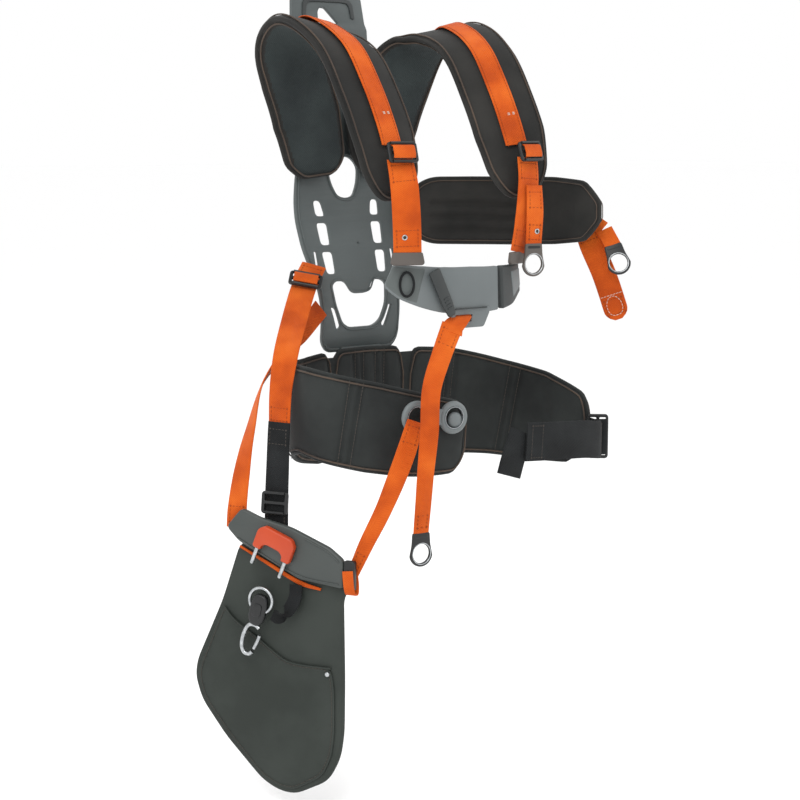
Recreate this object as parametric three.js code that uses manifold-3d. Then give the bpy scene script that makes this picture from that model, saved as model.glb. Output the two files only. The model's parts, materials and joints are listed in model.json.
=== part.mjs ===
// A back-plate harness vest: a moulded back plate, two shoulder pads on a
// height slider, a chest plate, a ribbed side pad, a hip belt in three padded
// pieces, and a hip guard that hangs on three straps.
// Millimetres, +Z up, -Y is the wearer's front, +X the wearer's left.
// The origin is on the front face of the back plate's flat middle panel.
import * as THREE from "three";
import { mergeVertices } from "three/addons/utils/BufferGeometryUtils.js";
import Module from "manifold-3d";

const wasm = await Module();
wasm.setup();

// Driving dimensions.
const GAP = 0.4; // clearance between touching pieces
const WEB = { width: 30, thick: 2 }; // orange strap webbing
const SLIM = { width: 25, thick: 2 }; // narrower hanging straps
const WIDE = { width: 46, thick: 2.4 }; // black waist webbing
const PLATE = { thick: 5, lean: 7.5 }; // back plate; lean of its upper part in degrees
const PAD = { width: 90, thick: 18 }; // shoulder pad
const BELT_THICK = 16;
const GUARD = { thick: 5, facing: -62 }; // hip guard; degrees its face turns from the front
const RING = { outer: 15, inner: 11, thick: 4 }; // end rings

const GREY = { color: 0x5a6060, roughness: 0.55, metalness: 0 };
const DARK = { color: 0x2b2e30, roughness: 0.9, metalness: 0 };
const ORANGE = { color: 0xe5641e, roughness: 0.8, metalness: 0 };
const BLACK = { color: 0x17181a, roughness: 0.5, metalness: 0 };
const STEEL = { color: 0xb4b6b8, roughness: 0.3, metalness: 1 };
const RED = { color: 0xd8401c, roughness: 0.4, metalness: 0 };

const vest = new THREE.Group();
const deg = THREE.MathUtils.degToRad;
const vec = (p) => new THREE.Vector3(...p);
const X_AXIS = vec([1, 0, 0]);
const Z_AXIS = vec([0, 0, 1]);

function add(name, geometry, look, parent = vest) {
  const mesh = new THREE.Mesh(geometry, new THREE.MeshStandardMaterial(look));
  mesh.name = name;
  parent.add(mesh);
  return mesh;
}

// Booleans.
function solid(geometry) {
  const bare = geometry.clone();
  bare.deleteAttribute("normal");
  bare.deleteAttribute("uv");
  const merged = mergeVertices(bare, 1e-4);
  return new wasm.Manifold(
    new wasm.Mesh({
      numProp: 3,
      vertProperties: new Float32Array(merged.attributes.position.array),
      triVerts: new Uint32Array(merged.index.array),
    }),
  );
}

function geometryOf(made) {
  const mesh = made.getMesh();
  return new THREE.BufferGeometry()
    .setAttribute("position", new THREE.BufferAttribute(mesh.vertProperties, 3))
    .setIndex(new THREE.BufferAttribute(mesh.triVerts, 1));
}

const join = (first, ...rest) =>
  geometryOf(rest.reduce((sum, g) => sum.add(solid(g)), solid(first)));
const cut = (first, ...rest) =>
  geometryOf(rest.reduce((sum, g) => sum.subtract(solid(g)), solid(first)));
const common = (first, second) => geometryOf(solid(first).intersect(solid(second)));

// Closed solid through rings of points that turn right-handed about the way they advance.
function loft(rings) {
  const size = rings[0].length;
  const index = [];
  for (let i = 0; i + 1 < rings.length; i++) {
    for (let j = 0; j < size; j++) {
      const a = i * size + j;
      const b = i * size + ((j + 1) % size);
      index.push(a, b, b + size, a, b + size, a + size);
    }
  }
  const last = (rings.length - 1) * size;
  for (let j = 1; j + 1 < size; j++) {
    index.push(0, j + 1, j, last, last + j, last + j + 1);
  }
  return new THREE.BufferGeometry().setFromPoints(rings.flat()).setIndex(index);
}

const flatSection = (w, t) => [
  [-w / 2, -t / 2],
  [w / 2, -t / 2],
  [w / 2, t / 2],
  [-w / 2, t / 2],
];

// Padded section: flat faces with sides that round off over a quarter of the thickness.
const paddedSection = (w, t) => [
  [-w / 2, -t / 5],
  [-w / 2 + t / 2.5, -t / 2],
  [w / 2 - t / 2.5, -t / 2],
  [w / 2, -t / 5],
  [w / 2, t / 5],
  [w / 2 - t / 2.5, t / 2],
  [-w / 2 + t / 2.5, t / 2],
  [-w / 2, t / 5],
];

// A strap or pad through stations {at, side, w}. side points across its width; the
// outer face is along (direction of travel) x side. lift moves it out of that face.
function strip(stations, { w, t, section = flatSection, steps = 4, lift = 0, span = [0, 1] }) {
  const path = new THREE.CatmullRomCurve3(stations.map((s) => vec(s.at)), false, "centripetal");
  const count = stations.length - 1;
  const number = Math.max(1, Math.round(count * steps * (span[1] - span[0])));
  const rings = [];
  for (let i = 0; i <= number; i++) {
    const u = span[0] + ((span[1] - span[0]) * i) / number;
    const place = Math.min(u * count, count - 1e-6);
    const from = stations[Math.floor(place)];
    const to = stations[Math.floor(place) + 1];
    const k = place - Math.floor(place);
    const travel = path.getTangent(u);
    const side = vec(from.side ?? [1, 0, 0]).lerp(vec(to.side ?? [1, 0, 0]), k);
    side.addScaledVector(travel, -side.dot(travel)).normalize();
    const out = new THREE.Vector3().crossVectors(travel, side);
    const width = THREE.MathUtils.lerp(from.w ?? w, to.w ?? w, k);
    const centre = path.getPoint(u).addScaledVector(out, lift);
    rings.push(
      section(width, t).map(([a, b]) =>
        centre.clone().addScaledVector(side, a).addScaledVector(out, b),
      ),
    );
  }
  return loft(rings);
}

// Flat slab: outline of [x, z] points, its front on y = 0 and its back on y = depth.
function slab(outline, holes, depth) {
  const points = outline.map(([x, z]) => new THREE.Vector2(x, z));
  const sheet = new THREE.ExtrudeGeometry(new THREE.Shape(points), {
    depth,
    bevelEnabled: false,
  });
  sheet.rotateX(Math.PI / 2).translate(0, depth, 0);
  const cutters = holes.map((hole) => slab(hole, [], depth + 2).translate(0, -1, 0));
  return cutters.length ? cut(sheet, ...cutters) : sheet;
}

const mirror = (points) => points.map(([x, z]) => [-x, z]).reverse();
const box = (w, d, h, x = 0, y = 0, z = 0) =>
  new THREE.BoxGeometry(w, d, h).translate(x, y, z);

// Rounded rectangle outline, anticlockwise, n points to a corner.
function rounded(w, h, r, x = 0, z = 0, n = 3) {
  const points = [];
  [[1, -1, -90], [1, 1, 0], [-1, 1, 90], [-1, -1, 180]].forEach(([sx, sz, start]) => {
    for (let i = 0; i <= n; i++) {
      const a = deg(start + (90 * i) / n);
      points.push([
        x + sx * (w / 2 - r) + r * Math.cos(a),
        z + sz * (h / 2 - r) + r * Math.sin(a),
      ]);
    }
  });
  return points;
}

// A group whose local x is across, local -y faces outward and local z is up along the piece.
function frameAt(origin, across, up) {
  const x = vec(across).normalize();
  const z = vec(up);
  z.addScaledVector(x, -z.dot(x)).normalize();
  const y = new THREE.Vector3().crossVectors(z, x);
  const group = new THREE.Group();
  group.applyMatrix4(new THREE.Matrix4().makeBasis(x, y, z).setPosition(...origin));
  vest.add(group);
  return group;
}

// Ring that stands in the local x-z plane, with a square section.
function ring(outer, inner, thick, x = 0, z = 0) {
  const h = thick / 2;
  const profile = [
    [inner, -h], [outer, -h], [outer, h], [inner, h], [inner, -h],
  ].map(([r, y]) => new THREE.Vector2(r, y));
  return new THREE.LatheGeometry(profile, 20).translate(x, 0, z);
}

// Back plate: an S-shaped strip, cut to its outline. Side profile as [y, z] of the front face.
const SPINE = [
  [28.1, 176],
  [12.9, 60],
  [7.08, 26],
  [-12.526, -46],
  [-20, -75],
  [-24, -102],
  [-22.5, -126],
  [-17, -158],
];
const HALF_EDGE = [
  [40, 172], [50, 132], [62, 92], [71, 62], [77, 30], [79, 8], [76, -26],
  [69, -52], [62, -76], [60, -100], [59, -142], [50, -155],
];
const SLOTS = [
  [[34, 12], [49, 12], [50, 31], [38, 31]],
  [[33, -23], [48, -23], [50, 4], [33, 4]],
  [[32, -58], [46, -58], [49, -31], [32, -31]],
];
const HEART = [
  [-12, 36], [0, 33], [12, 36], [20, 52], [23, 72], [12, 84], [-12, 84], [-23, 72], [-20, 52],
];
const MOUTH = [
  [-41, -72], [-34, -67], [-21, -67], [-12, -83], [12, -83], [21, -67], [34, -67], [41, -72],
  [38, -96], [29, -118], [18, -125], [-18, -125], [-29, -118], [-38, -96],
];
const LOW_SLOT = [[40, -100], [47, -98], [37, -127], [31, -124]];
const STRAP_SLOT = [[56, -30], [61, -30], [61, -60], [56, -56]];

function backPlate() {
  const shape = new THREE.Shape([
    ...SPINE.map(([y, z]) => new THREE.Vector2(y, z)),
    ...[...SPINE].reverse().map(([y, z]) => new THREE.Vector2(y + PLATE.thick, z)),
  ]);
  const sheet = new THREE.ExtrudeGeometry(shape, { depth: 200, bevelEnabled: false });
  sheet.rotateY(Math.PI / 2).rotateX(Math.PI / 2).translate(-100, 0, 0);
  const holes = SLOTS.flatMap((s) => [s, mirror(s)]);
  const outline = slab(
    [...HALF_EDGE, ...mirror(HALF_EDGE)],
    [...holes, HEART, MOUTH, LOW_SLOT, mirror(LOW_SLOT), STRAP_SLOT, mirror(STRAP_SLOT)],
    140,
  ).translate(0, -70, 0);
  return common(sheet, outline);
}

add("back_plate", backPlate(), GREY);

// Height slider: a tongue behind the plate that widens above it into a headed plate with a grip.
const UPPER = deg(PLATE.lean);
const upperFrame = frameAt([0, 12.9, 60], [1, 0, 0], [0, Math.sin(UPPER), Math.cos(UPPER)]);
const TONGUE = { half: 24, low: 27, thick: 5, top: 250 };
const tongueY = PLATE.thick + GAP;

const sliderEdge = [
  [TONGUE.half, TONGUE.low], [TONGUE.half, 122], [46, 134], [58, 160], [59, 184], [56, 190],
  [52, 232], [44, 244], [30, TONGUE.top],
];
add(
  "height_slider",
  slab(
    [...sliderEdge, ...mirror(sliderEdge)],
    [
      [[-15, 204], [-12, 209], [-4, 209], [15, 190], [-15, 190]],
      rounded(64, 14, 6, 0, 230),
      ...[45, 70, 95].map((z) => rounded(16, 8, 2, 0, z, 1)),
    ],
    TONGUE.thick,
  ).translate(0, tongueY, 0),
  GREY,
  upperFrame,
);

// Rails that hold the tongue on the back of the plate, each an L in plan.
for (const [name, s] of [["rail_right", -1], ["rail_left", 1]]) {
  const depth = TONGUE.thick + 2 * GAP;
  const wall = box(5, depth, 66, s * (TONGUE.half + 3.2), PLATE.thick + GAP / 2 + depth / 2, 74);
  const lip = box(11, 3, 66, s * (TONGUE.half + 0.2), PLATE.thick + GAP / 2 + depth + 1.4, 74);
  add(name, join(wall, lip), GREY, upperFrame);
}
// Sprung button of the height lock, carried in a bridge across the rails.
const bridgeY = PLATE.thick + TONGUE.thick + 4 * GAP + 3.4;
add(
  "lock_bridge",
  cut(box(64, 4, 30, 0, bridgeY + 2.3, 70), box(22, 8, 18, 0, bridgeY + 2.3, 70)),
  GREY,
  upperFrame,
);
add(
  "height_lock",
  join(box(20, 10, 16, 0, bridgeY + 5.5, 70), box(12, 5, 8, 0, bridgeY - 0.5, 70)),
  RED,
  upperFrame,
);

// Shoulder pads: one path over each shoulder, mirrored for the right.
const PAD_PATH = [
  { at: [48, 3, 62], side: [1, 0, 0], w: 74 },
  { at: [50, 4, 80], side: [1, 0, 0], w: 92 },
  { at: [58, 9, 130], side: [1, -0.08, 0], w: 108 },
  { at: [80, 2, 184], side: [1, -0.15, 0.08], w: 104 },
  { at: [98, -18, 218], side: [1, -0.15, 0.2], w: 94 },
  { at: [105, -52, 234], side: [1, -0.05, 0.24], w: PAD.width },
  { at: [103, -92, 227], side: [1, 0, 0.16], w: PAD.width },
  { at: [98, -132, 202], side: [1, 0, 0.06], w: PAD.width },
  { at: [96, -165, 157], side: [1, 0, 0], w: PAD.width },
  { at: [95, -190, 112], side: [1, 0, 0], w: PAD.width },
  { at: [95, -204, 72], side: [1, 0, 0], w: 80 },
  { at: [95, -211, 40], side: [1, 0, 0], w: 56 },
];
const flip = (stations) =>
  stations.map((s) => ({
    at: [-s.at[0], s.at[1], s.at[2]],
    side: [s.side[0], -s.side[1], -s.side[2]],
    w: s.w,
  }));
// The left pad turns further outward over its front.
const LEFT_TURN = [
  [1, 0, 0], [1, 0, 0], [1, -0.08, 0], [1, -0.15, 0.08], [0.98, -0.2, 0.2], [0.97, -0.25, 0.24],
  [0.95, -0.32, 0.16], [0.93, -0.37, 0.06], [0.91, -0.4, 0], [0.92, -0.38, 0], [0.95, -0.28, 0],
  [1, -0.12, 0],
];
const PAD_LEFT = PAD_PATH.map((station, i) => ({ ...station, side: LEFT_TURN[i] }));
const bare = (stations) => stations.map(({ at, side }) => ({ at, side }));
const PAD_FACE = PAD.thick / 2 + 2.6 + WEB.thick / 2;

for (const [hand, path] of [["right", flip(PAD_PATH)], ["left", PAD_LEFT]]) {
  add(`shoulder_pad_${hand}`, strip(path, { t: PAD.thick, section: paddedSection, steps: 3 }), DARK);
  add(
    `shoulder_strap_${hand}`,
    strip(bare(path), { w: WEB.width, t: WEB.thick, lift: PAD_FACE, steps: 3, span: [13 / 33, 28 / 33] }),
    ORANGE,
  );
}

// Ladder-lock: a flat frame with two windows, on the outer face of a strap.
const LOCK = { width: 38, height: 24, thick: 3.5 };
function ladderLock(width = LOCK.width, height = LOCK.height) {
  const window = (z) => rounded(width - 8, height / 2 - 4.5, 1.5, 0, z, 1);
  return slab(rounded(width, height, 4), [window(height / 4 - 0.4), window(-height / 4 + 0.4)], LOCK.thick);
}

// D-end: a flat clip with a round eye, hung from a strap end. Its top is at z = 0.
function ringClip() {
  const outline = [[-11, 0], [-12, -14], [-RING.outer, -24]];
  for (let i = 1; i < 10; i++) {
    const a = Math.PI + (Math.PI * i) / 10;
    outline.push([RING.outer * Math.cos(a), -24 + RING.outer * Math.sin(a)]);
  }
  outline.push([RING.outer, -24], [12, -14], [11, 0]);
  const eye = [];
  for (let i = 0; i < 16; i++) {
    const a = (Math.PI * i) / 8;
    eye.push([RING.inner * Math.cos(a), -24 + RING.inner * Math.sin(a)]);
  }
  return slab(outline, [eye], RING.thick).translate(0, -RING.thick / 2, 0);
}

// Front straps, from the shoulder locks to the chest plate.
const FRONT_RIGHT = [
  { at: [-95, -222, 84], side: [1, -0.2, 0] },
  { at: [-95, -230, 56], side: [0.9, -0.42, 0] },
  { at: [-94, -233, 20], side: [0.87, -0.5, 0] },
  { at: [-91, -231, -20], side: [0.87, -0.45, 0] },
];
const FRONT_LEFT = [
  { at: [95, -222, 84], side: [1, 0.1, 0] },
  { at: [92, -227, 56], side: [0.97, 0.2, 0] },
  { at: [84, -226, 10], side: [0.95, 0.3, 0] },
  { at: [78, -223, -26], side: [0.92, 0.4, 0] },
];
const EYE_STRAP = [
  { at: [98, -231, 52], side: [1, 0, 0] },
  { at: [97, -234, 20], side: [1, -0.1, 0] },
  { at: [95, -234, -14], side: [1, -0.2, 0] },
];
add("front_strap_right", strip(FRONT_RIGHT, { w: 32, t: WEB.thick }), ORANGE);
add("front_strap_left", strip(FRONT_LEFT, { w: 32, t: WEB.thick }), ORANGE);
add("eye_strap_left", strip(EYE_STRAP, { w: 24, t: WEB.thick }), ORANGE);
for (const [hand, x] of [["right", -95], ["left", 96]]) {
  const hold = frameAt([x, -228.5, 92], [1, 0.12 * Math.sign(x), 0], [0, 0.3, 0.95]);
  add(`shoulder_lock_${hand}`, ladderLock(), BLACK, hold);
}
add("eye_ring_left", ringClip(), STEEL, frameAt([95, -234, -15.6], [0.98, -0.2, 0], [0, 0, 1]));

// Chest plate: a curved panel through [x, y, top, bottom] stations, with a tab below.
const CHEST = [
  [-101, -209, -32, -60],
  [-86, -217, -34, -73],
  [-66, -224, -36, -82],
  [-38, -230, -38, -90],
  [0, -232, -39, -92],
  [28, -230, -40, -92],
  [45, -227, -40, -91],
];
const CLIP = [
  [49, -226.5, -40, -91],
  [70, -219, -40, -87],
  [96, -203, -38, -74],
];
function curvedPanel(stations, thick) {
  const rows = stations.map(([x, y, top, bottom]) => ({
    at: [x, y, (top + bottom) / 2],
    side: [0, 0, -1],
    w: top - bottom,
  }));
  return strip(rows, { t: thick, steps: 2 });
}
const TAB_EDGE = [[-31, -86], [28, -86], [28, -92], [19, -109], [-24, -109], [-31, -92]];
const TAB_SLOT = [[-24, -94], [2, -94], [0, -102], [-20, -102]];
const chestTab = slab(TAB_EDGE, [TAB_SLOT], 4).translate(0, -234.5, 0);
add("chest_plate", join(curvedPanel(CHEST, 5), chestTab), GREY);
add("chest_clip", curvedPanel(CLIP, 8), DARK);
const leverFrame = frameAt([-54, -232.8, -44], [1, 0.1, 0.42], [-0.42, 0.1, 1]);
add("release_lever", box(15, 3, 56, 0, -1.8, -26), DARK, leverFrame);

// Drop strap from the chest tab, with a ring at its lower end.
const DROP = [
  { at: [-33, -240, -104], side: [0.9, -0.4, 0] },
  { at: [-52, -247, -135], side: [0.9, -0.4, 0] },
  { at: [-74, -257, -172], side: [0.85, -0.5, 0] },
  { at: [-94, -278, -215], side: [0.85, -0.5, 0] },
  { at: [-101, -279, -262], side: [0.95, -0.3, 0] },
  { at: [-99, -266, -330], side: [1, -0.1, 0] },
];
add("drop_strap", strip(DROP, { w: SLIM.width, t: SLIM.thick }), ORANGE);
add("drop_ring", ringClip(), STEEL, frameAt([-99, -265.6, -331.8], [1, -0.1, 0], [0, 0, 1]));

// Ribbed side pad on the wearer's left, through [x, y, top, bottom] stations.
const SIDE_PAD = [
  [84, -22, 58, -24],
  [120, -28, 59, -27],
  [160, -45, 59, -28],
  [198, -84, 59, -28],
  [220, -135, 59, -26],
  [228, -180, 56, -22],
  [228, -205, 46, -10],
];
const beltStrip = (stations, thick, steps = 2) =>
  strip(
    stations.map(([x, y, top, bottom]) => ({
      at: [x, y, (top + bottom) / 2],
      side: [0, 0, 1],
      w: top - bottom,
    })),
    { t: thick, section: paddedSection, steps },
  );
add("side_pad", beltStrip(SIDE_PAD, 16), DARK);
const TAIL = [
  { at: [243, -165, 3], side: [0.3, -0.95, 0] },
  { at: [245, -172, -20], side: [0.45, -0.87, 0] },
  { at: [252, -192, -62], side: [0.6, -0.8, 0] },
  { at: [261, -210, -117], side: [0.75, -0.66, 0] },
];
add("side_tail", strip(TAIL, { w: WEB.width, t: WEB.thick }), ORANGE);
const SIDE_EYE = [
  { at: [253, -190, -6], side: [0.8, -0.55, 0.3] },
  { at: [254, -202, -22], side: [0.8, -0.55, 0.3] },
];
add("side_eye_strap", strip(SIDE_EYE, { w: 20, t: WEB.thick }), ORANGE);
add("side_ring", ringClip(), STEEL, frameAt([254.4, -203.4, -24.2], [0.8, -0.55, 0.3], [-0.3, 0.6, 1]));

// Hip belt: a middle piece, two wings, through [x, y, top, bottom] stations.
const BELT_BACK = [
  [-52, -35, -149, -290],
  [0, -33, -148, -290],
  [52, -35, -150, -290],
];
const WING_RIGHT = [
  [-62, -36, -150, -290],
  [-104, -47, -153, -282],
  [-139, -74, -153, -266],
  [-158, -118, -152, -256],
  [-154, -163, -156, -262],
  [-124, -206, -165, -270],
  [-78, -231, -178, -276],
  [-30, -238, -190, -276],
  [-16, -238, -206, -262],
];
const WING_LEFT = [
  [62, -36, -152, -292],
  [120, -45, -157, -294],
  [175, -73, -172, -297],
  [212, -118, -186, -304],
  [229, -165, -207, -303],
  [231, -182, -230, -290],
];
add("belt_back", beltStrip(BELT_BACK, BELT_THICK), DARK);
add("belt_mount", box(60, 5, 8.4, 0, -22, -152.6), GREY);
add("belt_wing_right", beltStrip(WING_RIGHT, BELT_THICK), DARK);
add("belt_wing_left", beltStrip(WING_LEFT, BELT_THICK), DARK);

// Buckle on the front of the right wing: a bar with an eye at each end, one partly filled by a knob.
const buckleFrame = frameAt([-66, -249, -206], [0.995, -0.1, 0], [0, 0, 1]);
const buckleEye = { outer: 19, inner: 11.5, thick: 7, out: 25 };
const knob = new THREE.CylinderGeometry(9, 9, 5, 18).translate(28, 0, -5);
add(
  "belt_buckle",
  join(
    knob,
    ring(buckleEye.outer, buckleEye.inner, buckleEye.thick, -buckleEye.out, 2),
    ring(buckleEye.outer, buckleEye.inner, buckleEye.thick, buckleEye.out, -2),
    box(2 * (buckleEye.out - buckleEye.inner) - 2, 4.6, 18),
  ),
  GREY,
  buckleFrame,
);

// Waist webbing on the left wing's end, with its lock and its folded tail.
const WAIST = [
  { at: [229, -206, -264], side: [0, 0, -1] },
  { at: [214, -228, -262], side: [0, 0, -1] },
  { at: [176, -241, -256], side: [0, 0, -1] },
  { at: [120, -246, -252], side: [0, 0, -1] },
  { at: [76, -246, -249], side: [0, 0, -1] },
];
const WAIST_TAIL = [
  { at: [72, -242, -236], side: [1, 0, 0.2] },
  { at: [62, -241, -262], side: [1, 0, 0.2] },
  { at: [54, -240, -288], side: [1, 0, 0.2] },
];
add("waist_webbing", strip(WAIST, { w: WIDE.width, t: WIDE.thick }), BLACK);
add("waist_tail", strip(WAIST_TAIL, { w: 38, t: WIDE.thick }), BLACK);
add("waist_lock", ladderLock(56, 26), BLACK, frameAt([234, -203, -263], [0, 0, 1], [-0.75, 0.66, 0]));

// Hip guard in the frame of its own face.
const FACE = deg(GUARD.facing);
const guardFrame = frameAt([-205, -120, -400], [Math.cos(FACE), Math.sin(FACE), 0], [0, 0, 1]);
const GUARD_EDGE = [
  [-37, 44], [-62, -28], [-97, -104], [-100, -123], [-92, -150], [-60, -191], [-12, -238], [10, -248],
  [30, -249], [71, -228], [86, -200], [91, -170], [92, -106], [91, -12], [98, 2], [41, 22],
];
add("hip_guard", slab(GUARD_EDGE, [], GUARD.thick), DARK, guardFrame);
const BAR_EDGE = [
  [-53, 62], [-33, 85], [-10, 76], [31, 67], [79, 48], [87, 42], [97, 35], [97, 2], [41, 8], [-37, 46],
];
add("guard_bar", slab(BAR_EDGE, [], 8).translate(0, -8 - GAP, 0), GREY, guardFrame);
const POCKET_EDGE = [
  [-60, -34], [-64, -42], [-93, -106], [-96, -123], [-88, -149], [-57, -188], [-11, -234],
  [11, -244], [29, -245], [66, -224], [78, -199], [82, -170], [82, -119], [78, -94], [40, -94],
  [20, -91], [-12, -71], [-49, -47],
];
add("pocket_panel", slab(POCKET_EDGE, [], 1.6).translate(0, -1.6 - GAP, 0), DARK, guardFrame);
add("bar_clip", box(13, 8, 34, 104.2, -4.4, 18), BLACK, guardFrame);

// On the bar, in its own tilted frame: the release handle with its two pins.
const barFrame = new THREE.Group();
barFrame.position.set(14, -8 - 2 * GAP, 49);
barFrame.rotation.y = deg(22);
guardFrame.add(barFrame);
const HANDLE_EDGE = [
  [-25, -15], [-25, 7], [-18, 14], [18, 14], [25, 7], [25, -15], [14, -15], [14, -10], [9, -6], [-9, -6],
  [-14, -10], [-14, -15],
];
add("release_handle", slab(HANDLE_EDGE, [], 9).translate(0, -9, 0), RED, barFrame);
for (const [end, x] of [["rear", -19], ["front", 19]]) {
  const pin = new THREE.CylinderGeometry(1.8, 1.8, 20, 10).rotateX(Math.PI / 2);
  add(`release_pin_${end}`, pin.translate(x, -4.5, -25.4), STEEL, barFrame);
}
const GUARD_WEB = [
  { at: [-38, -2, 39], side: [0.33, 0, 1] },
  { at: [41, -2, 2.6], side: [0.33, 0, 1] },
  { at: [96, -2, -4], side: [0.33, 0, 1] },
];
add("guard_web", strip(GUARD_WEB, { w: 6, t: WEB.thick, steps: 2 }), ORANGE, guardFrame);

// Spring hook on a short loop of webbing.
const HOOK_LOOP = [
  { at: [36, -5.6, 1], side: [1, 0, 0.1] },
  { at: [36, -8.5, -14], side: [1, 0, 0.1] },
  { at: [26, -12, -32], side: [0.9, 0, 0.5] },
  { at: [15, -15, -36], side: [0.3, 0, 0.9] },
];
add("hook_loop", strip(HOOK_LOOP, { w: 16, t: WEB.thick }), BLACK, guardFrame);
const hookFrame = new THREE.Group();
hookFrame.position.set(-4, -16, -19);
hookFrame.rotation.y = deg(16);
guardFrame.add(hookFrame);
const barrel = new THREE.CylinderGeometry(6, 6, 16, 14).rotateX(Math.PI / 2);
add("hook_swivel", join(ring(15, 10.5, 4), barrel.translate(0, 0, -20)), STEEL, hookFrame);
const HOOK = { half: 12, wire: 4, top: -29, low: -70 };
const hookOuter = [
  [-HOOK.half, HOOK.top - 8], [-5, HOOK.top], [5, HOOK.top], [HOOK.half, HOOK.top - 8],
  [HOOK.half, HOOK.top - 18], [6, HOOK.low + 3], [0, HOOK.low], [-6, HOOK.low + 3],
  [-HOOK.half, HOOK.top - 18],
];
const hookInner = [
  [-8, HOOK.top - 9], [-4, HOOK.top - 5], [4, HOOK.top - 5], [8, HOOK.top - 9], [8, HOOK.top - 17],
  [3, HOOK.low + 7], [-3, HOOK.low + 7], [-8, HOOK.top - 17],
];
const hookPlate = slab(hookOuter, [hookInner], HOOK.wire).translate(0, -HOOK.wire / 2, 0);
const gateGap = box(14, 10, 22, 10, 0, HOOK.top - 21);
add("hook_body", cut(hookPlate, gateGap), STEEL, hookFrame);
const gate = box(3, 3, 19, 0, 0, -9.5).rotateY(deg(12)).translate(9.6, 0, HOOK.top - 11.4);
add("hook_gate", gate, STEEL, hookFrame);

// Straps that carry the guard: two from the back plate, one from the belt's buckle.
const STRAP_A = [
  { at: [-70, -21, -46], side: [0.61, -0.5, -0.15] },
  { at: [-96, -39, -66], side: [0.65, -0.5, -0.15] },
  { at: [-132, -70, -100], side: [0.75, -0.6, -0.1] },
  { at: [-170, -104, -142], side: [0.6, -0.75, 0] },
  { at: [-181, -110, -178], side: [0.4, -0.9, 0] },
  { at: [-184, -110, -224], side: [0.3, -0.95, 0] },
];
add("side_strap", strip(STRAP_A, { w: WEB.width, t: WEB.thick, steps: 3 }), ORANGE);
const STRAP_LOW = [
  { at: [-184, -110, -225.4], side: [0.3, -0.95, 0] },
  { at: [-187, -111, -262], side: [0.4, -0.9, 0] },
  { at: [-193, -117, -304], side: [0.45, -0.88, 0] },
  { at: [-200, -125.4, -346], side: [0.469, -0.883, 0] },
];
add("guard_strap", strip(STRAP_LOW, { w: WEB.width, t: 3, steps: 3 }), BLACK);
const sideLockFrame = frameAt([-98.7, -44.2, -59.8], [0.78, -0.6, -0.18], [0.63, 0.47, 0.62]);
add("side_lock", ladderLock(40, 22), BLACK, sideLockFrame);
const guardLockFrame = frameAt([-199.6, -121.4, -308], [0.469, -0.883, 0], [0.1, 0.1, 1]);
add("guard_lock", ladderLock(34, 26), BLACK, guardLockFrame);
const STRAP_B = [
  { at: [-64, -26.6, -98], side: [-0.65, 0, 0.75] },
  { at: [-96, -32, -126], side: [-0.65, -0.2, 0.7] },
  { at: [-130, -38, -150], side: [-0.6, -0.6, 0.4] },
  { at: [-166, -50, -180], side: [-0.61, -0.79, 0] },
  { at: [-194, -64, -232], side: [-0.2, -0.97, 0] },
  { at: [-213, -74, -280], side: [0.25, -0.96, 0] },
  { at: [-224, -81, -320], side: [0.469, -0.883, 0] },
];
add("rear_strap", strip(STRAP_B, { w: SLIM.width, t: WEB.thick, steps: 3 }), ORANGE);
const STRAP_C = [
  { at: [-97, -252.6, -207], side: [1, -0.1, 0] },
  { at: [-110, -254, -240], side: [0.85, -0.5, 0] },
  { at: [-131, -242, -300], side: [0.35, -0.93, 0] },
  { at: [-147, -224, -350], side: [0.4, -0.9, 0] },
  { at: [-153.6, -210.4, -382], side: [0.469, -0.883, 0] },
];
add("front_guard_strap", strip(STRAP_C, { w: SLIM.width, t: WEB.thick, steps: 3 }), ORANGE);

// Keepers at the feet of the front straps, and the cord loop on the chest plate's end.
for (const [hand, at, across] of [
  ["right", [-91, -231, -27.4], [0.88, -0.47, 0]],
  ["left", [78, -224, -33], [0.92, 0.4, 0]],
]) {
  add(`strap_keeper_${hand}`, box(38, 6, 8), BLACK, frameAt(at, across, [0, 0, 1]));
}
const loop = new THREE.TorusGeometry(8, 1.5, 6, 16).scale(1, 1.7, 1).rotateX(Math.PI / 2);
add("pull_loop", loop, BLACK, frameAt([-86, -223.5, -56], [0.9, -0.44, 0], [0, 0, 1]));

export default vest;
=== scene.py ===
import bpy
import bmesh
import json
import math
from mathutils import Matrix, Vector


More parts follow.
